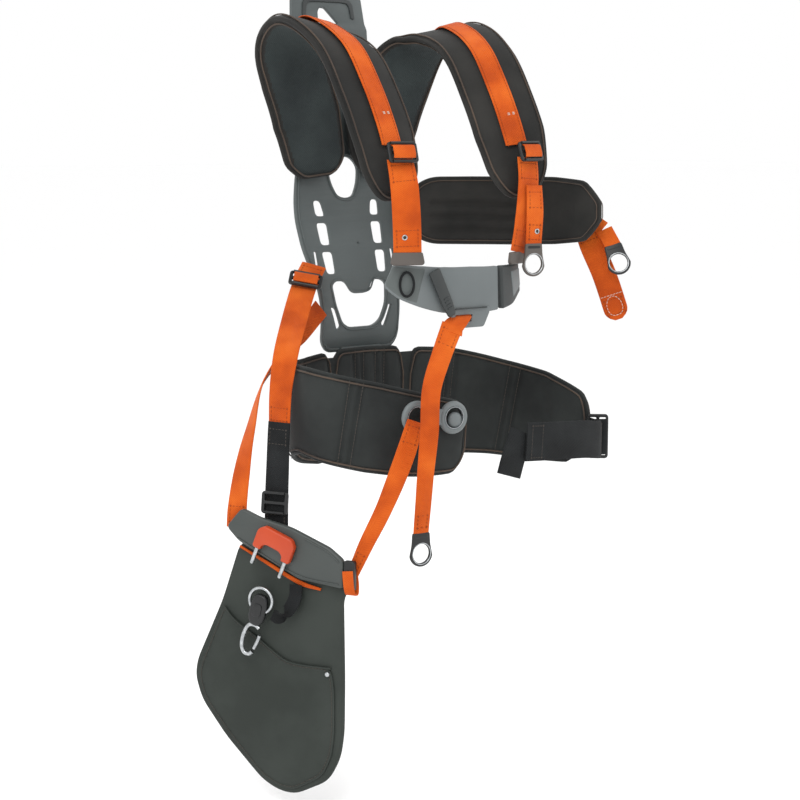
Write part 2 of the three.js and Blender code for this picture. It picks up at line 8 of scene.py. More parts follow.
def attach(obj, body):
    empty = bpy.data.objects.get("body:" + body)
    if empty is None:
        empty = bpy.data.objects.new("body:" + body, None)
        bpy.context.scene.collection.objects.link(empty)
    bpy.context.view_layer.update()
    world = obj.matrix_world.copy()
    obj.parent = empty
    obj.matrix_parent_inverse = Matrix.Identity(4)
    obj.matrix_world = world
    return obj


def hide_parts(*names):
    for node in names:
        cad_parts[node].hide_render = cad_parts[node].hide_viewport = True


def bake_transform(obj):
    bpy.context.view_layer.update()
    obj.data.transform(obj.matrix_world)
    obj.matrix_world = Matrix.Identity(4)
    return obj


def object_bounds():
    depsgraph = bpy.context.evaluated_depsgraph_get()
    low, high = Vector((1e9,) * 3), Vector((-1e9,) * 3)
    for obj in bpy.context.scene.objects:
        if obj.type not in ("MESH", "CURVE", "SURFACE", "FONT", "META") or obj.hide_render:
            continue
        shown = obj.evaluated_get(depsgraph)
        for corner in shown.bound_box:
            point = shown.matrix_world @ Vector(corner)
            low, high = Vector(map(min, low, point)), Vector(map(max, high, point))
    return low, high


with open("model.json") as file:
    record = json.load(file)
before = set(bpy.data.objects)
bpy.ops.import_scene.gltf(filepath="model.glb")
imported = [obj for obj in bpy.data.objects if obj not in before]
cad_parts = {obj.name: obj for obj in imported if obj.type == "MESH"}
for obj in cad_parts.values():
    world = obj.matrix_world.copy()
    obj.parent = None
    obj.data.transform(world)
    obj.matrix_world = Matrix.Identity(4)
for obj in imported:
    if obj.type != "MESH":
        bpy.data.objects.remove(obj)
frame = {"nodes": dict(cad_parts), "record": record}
cadBox = [list(corner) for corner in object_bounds()]
mm = 0.001
print("frame loaded:", len(frame["nodes"]), "nodes")

# materials

def linear(text):
    # sRGB hex to linear RGBA
    parts = [int(text[i:i + 2], 16) / 255 for i in (1, 3, 5)]
    return [c / 12.92 if c <= 0.04045 else ((c + 0.055) / 1.055) ** 2.4 for c in parts] + [1.0]


def addNode(tree, kind, inputs=None, **settings):
    node = tree.nodes.new(kind)
    for key, value in settings.items():
        setattr(node, key, value)
    for key, value in (inputs or {}).items():
        if isinstance(value, bpy.types.NodeSocket):
            tree.links.new(value, node.inputs[key])
        else:
            node.inputs[key].default_value = value
    return node


def newMaterial(name, roughness, metallic=0.0, ior=1.45, sheen=0.0, specular=0.5):
    material = bpy.data.materials.new(name)
    material.use_nodes = True
    tree = material.node_tree
    shader = tree.nodes["Principled BSDF"]
    shader.inputs["Roughness"].default_value = roughness
    shader.inputs["Metallic"].default_value = metallic
    if not metallic:
        shader.inputs["IOR"].default_value = ior
        shader.inputs["Specular IOR Level"].default_value = specular
    if sheen:
        shader.inputs["Sheen Weight"].default_value = sheen
        shader.inputs["Sheen Roughness"].default_value = 0.5
    return material, tree, shader


def colourSpread(tree, shader, amount, dark, light, low=0.35, high=0.65):
    ramp = addNode(tree, "ShaderNodeValToRGB", {0: amount})
    ramp.color_ramp.elements[0].position = low
    ramp.color_ramp.elements[0].color = linear(dark)
    ramp.color_ramp.elements[1].position = high
    ramp.color_ramp.elements[1].color = linear(light)
    tree.links.new(ramp.outputs[0], shader.inputs["Base Color"])
    return ramp


def roughSpread(tree, shader, amount, low, high):
    span = addNode(tree, "ShaderNodeMapRange", {0: amount, 3: low, 4: high})
    tree.links.new(span.outputs[0], shader.inputs["Roughness"])


def webbingMaterial(name, dark, mid, light, thread=2.4, roughness=0.72):
    # polyester webbing, woven: ribs run across it in two leaning halves, with a matt, slightly fuzzy face
    # thread is the rib spacing in mm, drawn about twice the real 1.2 mm so that it shows
    material, tree, shader = newMaterial(name, roughness, sheen=0.04, specular=0.2)
    uv = addNode(tree, "ShaderNodeUVMap", uv_map="strap")
    axes = addNode(tree, "ShaderNodeSeparateXYZ", {0: uv.outputs[0]})
    halves = addNode(tree, "ShaderNodeMath", {0: axes.outputs[1]}, operation="ABSOLUTE")
    lean = addNode(tree, "ShaderNodeMath", {0: halves.outputs[0], 1: 0.8, 2: axes.outputs[0]},
                   operation="MULTIPLY_ADD")
    turns = addNode(tree, "ShaderNodeMath", {0: lean.outputs[0], 1: 2 * math.pi / (thread * mm)},
                    operation="MULTIPLY")
    ribs = addNode(tree, "ShaderNodeMath", {0: turns.outputs[0]}, operation="SINE")
    yarn = addNode(tree, "ShaderNodeMath", {0: axes.outputs[1], 1: 2 * math.pi / (1.5 * mm)},
                   operation="MULTIPLY")
    yarnWave = addNode(tree, "ShaderNodeMath", {0: yarn.outputs[0]}, operation="SINE")
    cloth = addNode(tree, "ShaderNodeMath", {0: yarnWave.outputs[0], 1: 0.35, 2: ribs.outputs[0]},
                    operation="MULTIPLY_ADD")
    place = addNode(tree, "ShaderNodeTexCoord")
    fade = addNode(tree, "ShaderNodeTexNoise", {"Vector": place.outputs["Object"], "Scale": 22.0,
                                                "Detail": 4.0})
    fuzz = addNode(tree, "ShaderNodeTexNoise", {"Vector": place.outputs["Object"], "Scale": 900.0,
                                                "Detail": 2.0})
    mixed = addNode(tree, "ShaderNodeMath", {0: cloth.outputs[0], 1: 0.055, 2: fade.outputs[0]},
                    operation="MULTIPLY_ADD")
    ramp = colourSpread(tree, shader, mixed.outputs[0], dark, light, 0.3, 0.72)
    middle = ramp.color_ramp.elements.new(0.5)
    middle.color = linear(mid)
    height = addNode(tree, "ShaderNodeMath", {0: fuzz.outputs[0], 1: 0.8, 2: cloth.outputs[0]},
                     operation="MULTIPLY_ADD")
    bump = addNode(tree, "ShaderNodeBump", {"Strength": 0.5, "Distance": 0.00035, "Height": height.outputs[0]})
    tree.links.new(bump.outputs[0], shader.inputs["Normal"])
    return material


def coverMaterial(name, dark, light, thread=1.8, roughness=0.82, bumpDepth=0.25, sheen=0.05):
    # textured nylon cover, woven over foam: two sets of threads, matt, with soft patches where it is rubbed
    # thread is the spacing in mm, drawn coarser than the real 0.7 mm so that it shows
    material, tree, shader = newMaterial(name, roughness, sheen=sheen, specular=0.28)
    place = addNode(tree, "ShaderNodeTexCoord")
    axes = addNode(tree, "ShaderNodeSeparateXYZ", {0: place.outputs["Object"]})
    flat = addNode(tree, "ShaderNodeMath", {0: axes.outputs[0], 1: axes.outputs[1]}, operation="SUBTRACT")
    warp = addNode(tree, "ShaderNodeMath", {0: flat.outputs[0], 1: 2 * math.pi / (thread * mm)},
                   operation="MULTIPLY")
    weft = addNode(tree, "ShaderNodeMath", {0: axes.outputs[2], 1: 2 * math.pi / (thread * mm)},
                   operation="MULTIPLY")
    warpWave = addNode(tree, "ShaderNodeMath", {0: warp.outputs[0]}, operation="SINE")
    weftWave = addNode(tree, "ShaderNodeMath", {0: weft.outputs[0]}, operation="SINE")
    cloth = addNode(tree, "ShaderNodeMath", {0: warpWave.outputs[0], 1: weftWave.outputs[0]},
                    operation="MULTIPLY")
    patch = addNode(tree, "ShaderNodeTexNoise", {"Vector": place.outputs["Object"], "Scale": 14.0,
                                                 "Detail": 5.0})
    fuzz = addNode(tree, "ShaderNodeTexNoise", {"Vector": place.outputs["Object"], "Scale": 700.0,
                                                "Detail": 2.0})
    mixed = addNode(tree, "ShaderNodeMath", {0: cloth.outputs[0], 1: 0.05, 2: patch.outputs[0]},
                    operation="MULTIPLY_ADD")
    colourSpread(tree, shader, mixed.outputs[0], dark, light)
    roughSpread(tree, shader, patch.outputs[0], roughness - 0.1, roughness + 0.1)
    height = addNode(tree, "ShaderNodeMath", {0: fuzz.outputs[0], 1: 0.7, 2: cloth.outputs[0]},
                     operation="MULTIPLY_ADD")
    bump = addNode(tree, "ShaderNodeBump",
                   {"Strength": bumpDepth, "Distance": 0.0003, "Height": height.outputs[0]})
    tree.links.new(bump.outputs[0], shader.inputs["Normal"])
    return material


def mouldedMaterial(name, dark, light, roughness, grain=0.9, depth=0.12):
    # injection-moulded nylon or ABS with a spark-eroded grain: satin, even colour, slightly polished where
    # handled; grain is the grain size in mm
    material, tree, shader = newMaterial(name, roughness, ior=1.5)
    place = addNode(tree, "ShaderNodeTexCoord")
    patch = addNode(tree, "ShaderNodeTexNoise",
                    {"Vector": place.outputs["Object"], "Scale": 9.0, "Detail": 3.0})
    pits = addNode(tree, "ShaderNodeTexNoise", {"Vector": place.outputs["Object"], "Scale": 1 / (grain * mm),
                                                "Detail": 3.0})
    colourSpread(tree, shader, patch.outputs[0], dark, light, 0.3, 0.7)
    roughSpread(tree, shader, pits.outputs[0], roughness - 0.07, roughness + 0.1)
    bump = addNode(tree, "ShaderNodeBump", {"Strength": depth, "Distance": 0.0002, "Height": pits.outputs[0]})
    tree.links.new(bump.outputs[0], shader.inputs["Normal"])
    return material


def steelMaterial(name, tone, roughness):
    # zinc-plated steel, tumbled: bright but soft reflections with faint scuffs
    material, tree, shader = newMaterial(name, roughness, metallic=1.0)
    place = addNode(tree, "ShaderNodeTexCoord")
    scuff = addNode(tree, "ShaderNodeTexNoise", {"Vector": place.outputs["Object"], "Scale": 260.0,
                                                 "Detail": 6.0})
    colourSpread(tree, shader, scuff.outputs[0], tone[0], tone[1])
    roughSpread(tree, shader, scuff.outputs[0], roughness - 0.08, roughness + 0.12)
    bump = addNode(tree, "ShaderNodeBump", {"Strength": 0.08, "Distance": 0.0002, "Height": scuff.outputs[0]})
    tree.links.new(bump.outputs[0], shader.inputs["Normal"])
    return material


def threadMaterial(name, dark, light):
    # bonded polyester sewing thread: slanting plies, matt, with a painted highlight that makes a ply a little
    # lighter where it stands out
    material, tree, shader = newMaterial(name, 0.7, specular=0.3)
    place = addNode(tree, "ShaderNodeTexCoord")
    plies = addNode(tree, "ShaderNodeTexWave", {"Vector": place.outputs["Object"], "Scale": 420.0,
                                                "Distortion": 1.5},
                    bands_direction="DIAGONAL")
    # painted highlight: the wave that raises the plies also lightens their colour
    colourSpread(tree, shader, plies.outputs[1], dark, light, 0.2, 0.8)
    bump = addNode(tree, "ShaderNodeBump", {"Strength": 0.3, "Distance": 0.0001, "Height": plies.outputs[1]})
    tree.links.new(bump.outputs[0], shader.inputs["Normal"])
    return material


orangeWebbing = webbingMaterial("orangeWebbing", "#aa4109", "#c5520f", "#d7651b")
blackWebbing = webbingMaterial("blackWebbing", "#141516", "#1c1e1f", "#262829", thread=2.6, roughness=0.78)
padCover = coverMaterial("blackPadCover", "#1f1f1e", "#2f2e2c")
liningCover = coverMaterial("greySpacerMeshLining", "#222829", "#333a3a", thread=3.0, bumpDepth=0.4)
beltCover = coverMaterial("blackBeltCover", "#1d1f1f", "#2e3130")
guardCover = coverMaterial("coatedGuardCloth", "#292e2a", "#353a36", thread=1.4, roughness=0.6, bumpDepth=0.15,
                           sheen=0.04)
bindingTape = coverMaterial("brownGreyBinding", "#3d342e", "#574a40", thread=1.2, roughness=0.8, bumpDepth=0.4)
stitchThread = threadMaterial("greyThread", "#3c3733", "#564f49")
lightThread = threadMaterial("paleThread", "#c8b09f", "#e6d3c6")
orangeThread = threadMaterial("darkOrangeThread", "#7c300c", "#9c4418")
platePlastic = mouldedMaterial("greyMouldedPlate", "#474d4d", "#545b5b", 0.5)
chestPlastic = mouldedMaterial("paleGreyMouldedPanel", "#5f6566", "#6c7273", 0.46)
wingPlastic = mouldedMaterial("midGreyMouldedPanel", "#4c5251", "#585e5d", 0.48)
darkPlastic = mouldedMaterial("darkGreyMouldedPanel", "#272b2b", "#343939", 0.5)
barPlastic = mouldedMaterial("greyMouldedBar", "#383d3b", "#444947", 0.48)
keeperPlastic = mouldedMaterial("greyBrownMouldedSlide", "#47423e", "#5a534e", 0.55)
# black nylon for the real black parts; also the painted shade in eyelet holes, clip strap slots and the chest
# clip's slit
blackNylonAndShade = mouldedMaterial("blackMouldedNylonAndPaintedShade", "#0f1011", "#1b1d1e", 0.42)
redPlastic = mouldedMaterial("orangeRedMouldedHandle", "#ad360f", "#c44616", 0.4, depth=0.06)
platedSteel = steelMaterial("zincPlatedSteel", ("#9fa2a4", "#c6c9cb"), 0.3)
print("materials made:", len(bpy.data.materials))

# shape tools

def unit(p):
    return Vector(p).normalized()


def pathPoint(points, u):
    # centripetal curve through the points, the same one that the frame's straps follow
    last = len(points) - 1
    place = min(max(u, 0.0), 1.0) * last
    i = min(int(place), last - 1)
    k = place - i
    p1, p2 = points[i], points[i + 1]
    p0 = points[i - 1] if i else p1 * 2 - p2
    p3 = points[i + 2] if i + 2 <= last else p2 * 2 - p1
    gaps = [(b - a).length_squared ** 0.25 for a, b in ((p0, p1), (p1, p2), (p2, p3))]
    d1 = gaps[1] or 1
    d0 = gaps[0] or d1
    d2 = gaps[2] or d1
    t1 = ((p1 - p0) / d0 - (p2 - p0) / (d0 + d1) + (p2 - p1) / d1) * d1
    t2 = ((p2 - p1) / d1 - (p3 - p1) / (d1 + d2) + (p3 - p2) / d2) * d1
    return p1 + t1 * k + (p2 * 3 - p1 * 3 - t1 * 2 - t2) * k ** 2 + (p1 * 2 - p2 * 2 + t1 + t2) * k ** 3


def samplePath(stations, count, span=(0.0, 1.0)):
    # stations are (x, y, z, side x, y, z, width) in mm; gives (centre, side, out, width, distance) in metres
    points = [Vector(s[:3]) * mm for s in stations]
    last = len(points) - 1
    samples, run, before = [], 0.0, None
    for i in range(count + 1):
        u = span[0] + (span[1] - span[0]) * i / count
        centre = pathPoint(points, u)
        travel = (pathPoint(points, u + 1e-4) - pathPoint(points, u - 1e-4)).normalized()
        place = min(u * last, last - 1e-6)
        k = place - int(place)
        a, b = stations[int(place)], stations[int(place) + 1]
        side = Vector(a[3:6]).lerp(Vector(b[3:6]), k)
        side = (side - travel * side.dot(travel)).normalized()
        width = (a[6] * (1 - k) + b[6] * k) * mm
        if before is not None:
            run += (centre - before).length
        before = centre
        samples.append((centre, side, travel.cross(side), width, run))
    return samples


def finishMesh(name, bm, material, body, smoothAngle=40, recalc=True):
    if recalc:
        bmesh.ops.recalc_face_normals(bm, faces=bm.faces[:])
    mesh = bpy.data.meshes.new(name)
    bm.to_mesh(mesh)
    bm.free()
    return finishPiece(name, mesh, material, body, smoothAngle)


def smoothed(mesh, degrees):
    for face in mesh.polygons:
        face.use_smooth = True
    mesh.set_sharp_from_angle(angle=math.radians(degrees))


def finishPiece(name, mesh, material, body, smoothAngle=40):
    mesh.materials.clear()
    mesh.materials.append(material)
    for face in mesh.polygons:
        face.material_index = 0
    smoothed(mesh, smoothAngle)
    piece = bpy.data.objects.new(name, mesh)
    bpy.context.scene.collection.objects.link(piece)
    if body:
        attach(piece, body)
    return piece


def evaluatedMesh(piece):
    bpy.context.view_layer.update()
    return bpy.data.meshes.new_from_object(piece.evaluated_get(bpy.context.evaluated_depsgraph_get()))


def applied(piece):
    # the piece with its modifiers made real
    made = evaluatedMesh(piece)
    piece.modifiers.clear()
    piece.data = made
    return piece


def strapMesh(samples, thick, crown=0.35, ripple=0.25, endRound=0.0):
    # flat woven strap: crowned faces, rounded edges and a faint ripple; UV map "strap" is in metres
    bm = bmesh.new()
    layer = bm.loops.layers.uv.new("strap")
    across = (-1, -0.97, -0.8, -0.45, 0, 0.45, 0.8, 0.97, 1)
    rise = {a: thick / 2 * (0.45 if abs(a) == 1 else 0.85 if abs(a) > 0.9 else 1) for a in across}
    rings = []
    total = samples[-1][4]
    for centre, side, out, width, run in samples:
        half = width / 2
        if endRound:
            left = max(total - run, 0.0)
            if left < endRound:
                half *= max(math.sqrt(1 - (1 - left / endRound) ** 2), 0.3)
        wave = math.sin(run * 95) * ripple * mm
        ring = []
        for a in across:
            swell = rise[a] + crown * mm * (1 - a * a)
            ring.append((centre + side * half * a + out * (wave + swell), half * a))
        for a in reversed(across):
            ring.append((centre + side * half * a + out * (wave - rise[a]), half * a))
        rings.append(([bm.verts.new(p) for p, _ in ring], [v for _, v in ring], run))
    size = len(rings[0][0])
    for (va, ua, ra), (vb, ub, rb) in zip(rings, rings[1:]):
        for j in range(size):
            n = (j + 1) % size
            face = bm.faces.new((va[j], va[n], vb[n], vb[j]))
            for loop, spot in zip(face.loops, ((ra, ua[j]), (ra, ua[n]), (rb, ub[n]), (rb, ub[j]))):
                loop[layer].uv = spot
    for verts, spots, run in (rings[0], rings[-1]):
        half = size // 2
        for j in range(half - 1):
            face = bm.faces.new((verts[j], verts[j + 1], verts[size - 2 - j], verts[size - 1 - j]))
            for loop, v in zip(face.loops, (spots[j], spots[j + 1], spots[size - 2 - j], spots[size - 1 - j])):
                loop[layer].uv = (run, v)
    return bm


def frameAt(origin, across, up):
    # local x across, local -y outward, local z up along the piece; origin in mm
    x = unit(across)
    z = Vector(up)
    z = (z - x * z.dot(x)).normalized()
    y = z.cross(x)
    turn = Matrix((x, y, z)).transposed().to_4x4()
    turn.translation = Vector(origin) * mm
    return turn


def subFrame(parent, place, degrees):
    return parent @ Matrix.Translation(Vector(place) * mm) @ Matrix.Rotation(math.radians(degrees), 4, "Y")


def arc(cx, cz, r, start, end, count):
    return [(cx + r * math.cos(math.radians(start + (end - start) * i / count)),
             cz + r * math.sin(math.radians(start + (end - start) * i / count))) for i in range(count + 1)]


def softOutline(points, radius, steps=4):
    # rounds each corner of a closed outline by about radius, in mm
    rounded = []
    count = len(points)
    for i in range(count):
        a, b, c = (Vector(points[(i + k) % count]) for k in (-1, 0, 1))
        inward, outward = (a - b), (c - b)
        reach = min(radius, inward.length * 0.45, outward.length * 0.45)
        p, q = b + inward.normalized() * reach, b + outward.normalized() * reach
        for s in range(steps + 1):
            t = s / steps
            rounded.append(tuple(p * (1 - t) ** 2 + b * 2 * t * (1 - t) + q * t ** 2))
    return rounded


def cutPlate(outlines, depth, edge, front=0.0):
    # flat plate in local x-z from outlines in mm, the first outside and the rest holes, with rounded edges
    # its front face is at y = front and its back at front + depth
    curve = bpy.data.curves.new("plate", "CURVE")
    curve.dimensions = "2D"
    curve.fill_mode = "BOTH"
    curve.extrude = (depth / 2 - edge) * mm
    curve.bevel_depth = edge * mm
    curve.bevel_resolution = 2
    curve.offset = -edge * mm
    for outline in outlines:
        spline = curve.splines.new("POLY")
        spline.points.add(len(outline) - 1)
        for point, (x, z) in zip(spline.points, outline):
            point.co = (x * mm, z * mm, 0, 1)
        spline.use_cyclic_u = True
    holder = bpy.data.objects.new("plate", curve)
    bpy.context.scene.collection.objects.link(holder)
    mesh = evaluatedMesh(holder)
    bpy.data.objects.remove(holder)
    bpy.data.curves.remove(curve)
    mesh.transform(Matrix.Translation((0, (front + depth / 2) * mm, 0))
                   @ Matrix.Rotation(math.radians(90), 4, "X"))
    bm = bmesh.new()
    bm.from_mesh(mesh)
    bmesh.ops.remove_doubles(bm, verts=bm.verts[:], dist=1e-6)
    bpy.data.meshes.remove(mesh)
    return bm


def tube(points, radius, sides=10, closed=False):
    # round tube along points in metres
    bm = bmesh.new()
    rings = []
    count = len(points)
    normal = None
    for i, p in enumerate(points):
        a = points[(i - 1) % count] if closed or i else p
        b = points[(i + 1) % count] if closed or i + 1 < count else p
        travel = (b - a).normalized()
        if normal is None:
            normal = travel.orthogonal().normalized()
        normal = (normal - travel * normal.dot(travel)).normalized()
        other = travel.cross(normal)
        rings.append([bm.verts.new(p + normal * radius * math.cos(2 * math.pi * k / sides)
                                   + other * radius * math.sin(2 * math.pi * k / sides)) for k in range(sides)])
    pairs = list(zip(rings, rings[1:]))
    if closed:
        first, final = rings[0], rings[-1]
        shift = min(range(sides),
                    key=lambda s: sum((first[(k + s) % sides].co - final[k].co).length for k in range(sides)))
        pairs.append((final, [first[(k + shift) % sides] for k in range(sides)]))
    for ra, rb in pairs:
        for k in range(sides):
            n = (k + 1) % sides
            bm.faces.new((ra[k], ra[n], rb[n], rb[k]))
    if not closed:
        bm.faces.new(rings[0])
        bm.faces.new(rings[-1])
    return bm


def turned(profile, sides=40):
    # lathed ring or pin round local y from (radius, y) in mm; a closed profile unless it meets the axis
    bm = bmesh.new()
    rings = []
    for r, y in profile:
        if r < 1e-6:
            rings.append([bm.verts.new((0, y * mm, 0))])
        else:
            turns = [2 * math.pi * k / sides for k in range(sides)]
            rings.append([bm.verts.new((r * mm * math.cos(a), y * mm, r * mm * math.sin(a))) for a in turns])
    pairs = list(zip(rings, rings[1:]))
    if profile[0][0] > 1e-6 and profile[-1][0] > 1e-6:
        pairs.append((rings[-1], rings[0]))
    for ra, rb in pairs:
        for k in range(sides):
            n = (k + 1) % sides
            if len(ra) == 1:
                bm.faces.new((ra[0], rb[n], rb[k]))
            elif len(rb) == 1:
                bm.faces.new((ra[k], ra[n], rb[0]))
            else:
                bm.faces.new((ra[k], ra[n], rb[n], rb[k]))
    return bm


def ovalRing(radius, halfWide, halfThick, count=12):
    # closed oval profile to turn into a ring
    turns = [2 * math.pi * i / count for i in range(count)]
    return [(radius + halfWide * math.cos(a), halfThick * math.sin(a)) for a in turns]


def joined(*parts):
    # one bmesh from several, each with an optional 4x4
    whole = bmesh.new()
    for part, place in parts:
        if place is not None:
            part.transform(place)
        mesh = bpy.data.meshes.new("joined")
        bmesh.ops.recalc_face_normals(part, faces=part.faces[:])
        part.to_mesh(mesh)
        whole.from_mesh(mesh)
        bpy.data.meshes.remove(mesh)
        part.free()
    return whole


def refined(node, material, body, bevel=1.0, segments=2):
    # a copy of a frame node with its facets merged and its edges rounded
    bm = bmesh.new()
    bm.from_mesh(frame["nodes"][node].data)
    bmesh.ops.remove_doubles(bm, verts=bm.verts[:], dist=2e-5)
    bmesh.ops.dissolve_limit(bm, angle_limit=math.radians(1), verts=bm.verts[:], edges=bm.edges[:])
    piece = finishMesh(node + "_shell", bm, material, body, 40, recalc=False)
    rounding = piece.modifiers.new("round", "BEVEL")
    rounding.width = bevel * mm
    rounding.segments = segments
    rounding.limit_method = "ANGLE"
    rounding.angle_limit = math.radians(38)
    applied(piece)
    smoothed(piece.data, 38)
    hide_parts(node)
    return piece


def bodyOf(node):
    return next(name for name, nodes in frame["record"]["behaviour"]["bodies"].items() if node in nodes)


# stitches: geometry nodes set a short thread at even steps along each seam line
stitch = {"pitch": 4.0, "length": 2.8, "radius": 0.35}  # mm


def stitchTree(material):
    tree = bpy.data.node_groups.new("stitchRow", "GeometryNodeTree")
    tree.interface.new_socket("Seam", in_out="INPUT", socket_type="NodeSocketGeometry")
    for name in ("Pitch", "Length", "Radius"):
        tree.interface.new_socket(name, in_out="INPUT", socket_type="NodeSocketFloat")
    tree.interface.new_socket("Thread", in_out="OUTPUT", socket_type="NodeSocketGeometry")
    given = addNode(tree, "NodeGroupInput")
    line = addNode(tree, "GeometryNodeMeshToCurve", {0: given.outputs["Seam"]})
    steps = addNode(tree, "GeometryNodeResampleCurve",
                    {"Curve": line.outputs[0], "Length": given.outputs["Pitch"]}, mode="LENGTH")
    thread = addNode(tree, "GeometryNodeMeshCylinder",
                     {"Vertices": 6, "Radius": given.outputs["Radius"], "Depth": given.outputs["Length"]},
                     fill_type="NGON")
    travel = addNode(tree, "GeometryNodeInputTangent")
    turn = addNode(tree, "FunctionNodeAlignRotationToVector", {"Vector": travel.outputs[0]}, axis="Z")
    rows = addNode(tree, "GeometryNodeInstanceOnPoints",
                   {"Points": steps.outputs[0], "Instance": thread.outputs["Mesh"],
                    "Rotation": turn.outputs[0]})
    real = addNode(tree, "GeometryNodeRealizeInstances", {0: rows.outputs[0]})
    shade = addNode(tree, "GeometryNodeSetMaterial", {"Geometry": real.outputs[0], "Material": material})
    addNode(tree, "NodeGroupOutput", {0: shade.outputs[0]})
    return tree


seams = {}


def seam(body, kind, points):
    # remembers a seam line in metres, to be stitched at the end
    seams.setdefault((body, kind), []).append(points)


def sewSeams():
    threads = {"grey": stitchThread, "orange": orangeThread, "pale": lightThread}
    trees = {kind: stitchTree(material) for kind, material in threads.items()}
    for (body, kind), lines in seams.items():
        mesh = bpy.data.meshes.new("seam")
        points, edges = [], []
        for line in lines:
            start = len(points)
            points.extend(line)
            edges.extend((start + i, start + i + 1) for i in range(len(line) - 1))
        mesh.from_pydata(points, edges, [])
        rows = bpy.data.objects.new("seam", mesh)
        bpy.context.scene.collection.objects.link(rows)
        sewing = rows.modifiers.new("stitches", "NODES")
        sewing.node_group = trees[kind]
        sizes = {"Pitch": stitch["pitch"], "Length": stitch["length"], "Radius": stitch["radius"]}
        for item in trees[kind].interface.items_tree:
            if item.in_out == "INPUT" and item.name in sizes:
                sewing[item.identifier] = sizes[item.name] * mm
        made = evaluatedMesh(rows)
        bpy.data.objects.remove(rows)
        finishPiece(f"stitches_{kind}_{body}", made, threads[kind], body, 60)
    print("stitched seams:", len(seams))


# padded pieces
# edges in metres
coverCloth = {"frames": 20, "quality": 5, "stretch": 12, "bending": 1.5, "sewnEdge": 0.006, "freeEdge": 0.014}


def puffed(piece, pressure, cap, voxel, samples):
    # blows the cover up like foam under cloth, held along its sewn edge
    # cap is the furthest that a point may move, in metres
    shell = piece.modifiers.new("voxels", "REMESH")
    shell.mode = "VOXEL"
    shell.voxel_size = voxel
    applied(piece)
    rest = [v.co.copy() for v in piece.data.vertices]
    held = piece.vertex_groups.new(name="sewnEdge")
    total = samples[-1][4]
    for index, spot in enumerate(rest):
        centre, side, out, width, run = nearest(samples, spot)
        reach = min(width / 2 - abs((spot - centre).dot(side)), min(run, total - run) + coverCloth["sewnEdge"])
        grip = 1 - (reach - coverCloth["sewnEdge"]) / coverCloth["freeEdge"]
        held.add([index], min(max(grip, 0), 1), "REPLACE")
    cloth = piece.modifiers.new("cloth", "CLOTH")
    cloth.settings.use_pressure = True
    cloth.settings.uniform_pressure_force = pressure
    cloth.settings.effector_weights.gravity = 0
    cloth.settings.quality = coverCloth["quality"]
    cloth.settings.tension_stiffness = coverCloth["stretch"]
    cloth.settings.compression_stiffness = coverCloth["stretch"]
    cloth.settings.bending_stiffness = coverCloth["bending"]
    cloth.settings.vertex_group_mass = "sewnEdge"
    cloth.point_cache.frame_start = 1
    cloth.point_cache.frame_end = coverCloth["frames"]
    scene = bpy.context.scene
    for step in range(1, coverCloth["frames"] + 1):
        scene.frame_set(step)
    graph = bpy.context.evaluated_depsgraph_get()
    moved = [v.co.copy() for v in piece.evaluated_get(graph).data.vertices]
    piece.modifiers.clear()
    scene.frame_set(1)
    for vertex, a, b in zip(piece.data.vertices, rest, moved):
        step = b - a
        if step.length > cap:
            step = step * (cap / step.length)
        vertex.co = a + step
    return piece


def nearest(samples, p):
    return min(samples, key=lambda s: (s[0] - p).length_squared)


def roundEnd(reach, ends):
    # rises from 0 at the very end to 1 past the rounded part
    return math.sqrt(max(1 - (1 - min(reach / ends, 1)) ** 2, 0.0))


def padMesh(samples, thick, ends):
    # lofted cushion: full in the middle, thin at its bound edge, with round ends of the given reach
    bm = bmesh.new()
    sections = 20
    rings = []
    total = samples[-1][4]
    for centre, side, out, width, run in samples:
        k = roundEnd(min(run, total - run), ends)
        half = width / 2 * (1 - 0.45 * (1 - k))
        full = thick / 2 * (0.3 + 0.7 * k)
        ring = []
        for j in range(sections):
            a = 2 * math.pi * j / sections
            c, s = math.cos(a), math.sin(a)
            ring.append(bm.verts.new(centre + side * half * math.copysign(abs(c) ** 0.55, c)
                                     + out * full * math.copysign(abs(s) ** 0.6, s)))
        rings.append(ring)
    for ra, rb in zip(rings, rings[1:]):
        for j in range(sections):
            n = (j + 1) % sections
            bm.faces.new((ra[j], ra[n], rb[n], rb[j]))
    bm.faces.new(rings[0])
    bm.faces.new(rings[-1])
    return bm


def edgeLoop(samples, inset, ends, lift=0.0):
    # the pad's outline, as a closed run of points in metres
    total = samples[-1][4]
    left, right = [], []
    for centre, side, out, width, run in samples:
        k = roundEnd(min(run, total - run), ends)
        half = (width / 2 - inset) * (1 - 0.45 * (1 - k))
        left.append(centre + side * half + out * lift)
        right.append(centre - side * half + out * lift)
    return left + right[::-1]


def evenly(points, step):
    # the closed run at even steps, so that a tube along it stays smooth
    run = points + [points[0]]
    spots, left = [], 0.0
    for a, b in zip(run, run[1:]):
        length = (b - a).length
        while left <= length and length > 1e-9:
            spots.append(a.lerp(b, left / length))
            left += step
        left -= length
    return spots


# widths in metres; share is the part of a point's height that a channel may take
channel = {"stripe": 0.0036, "rib": 0.0042, "fade": 0.01, "share": 0.72}


def groove(piece, samples, stripes, ribs, depth):
    # presses sewn channels into the cover: stripes are distances along, ribs are (across, from, to), in metres
    for vertex in piece.data.vertices:
        centre, side, out, width, run = nearest(samples, vertex.co)
        offset = vertex.co - centre
        along = run + offset.dot(side.cross(out))
        across, height = offset.dot(side), offset.dot(out)
        press = 0.0
        for place in stripes:
            press = max(press, math.exp(-((along - place) / channel["stripe"]) ** 2))
        for place, start, end in ribs:
            if start < along < end:
                fade = min(1, (along - start) / channel["fade"], (end - along) / channel["fade"])
                press = max(press, math.exp(-((across - place) / channel["rib"]) ** 2) * fade)
        if press > 0.01:
            vertex.co -= out * math.copysign(min(depth, abs(height) * channel["share"]), height) * min(press, 1)


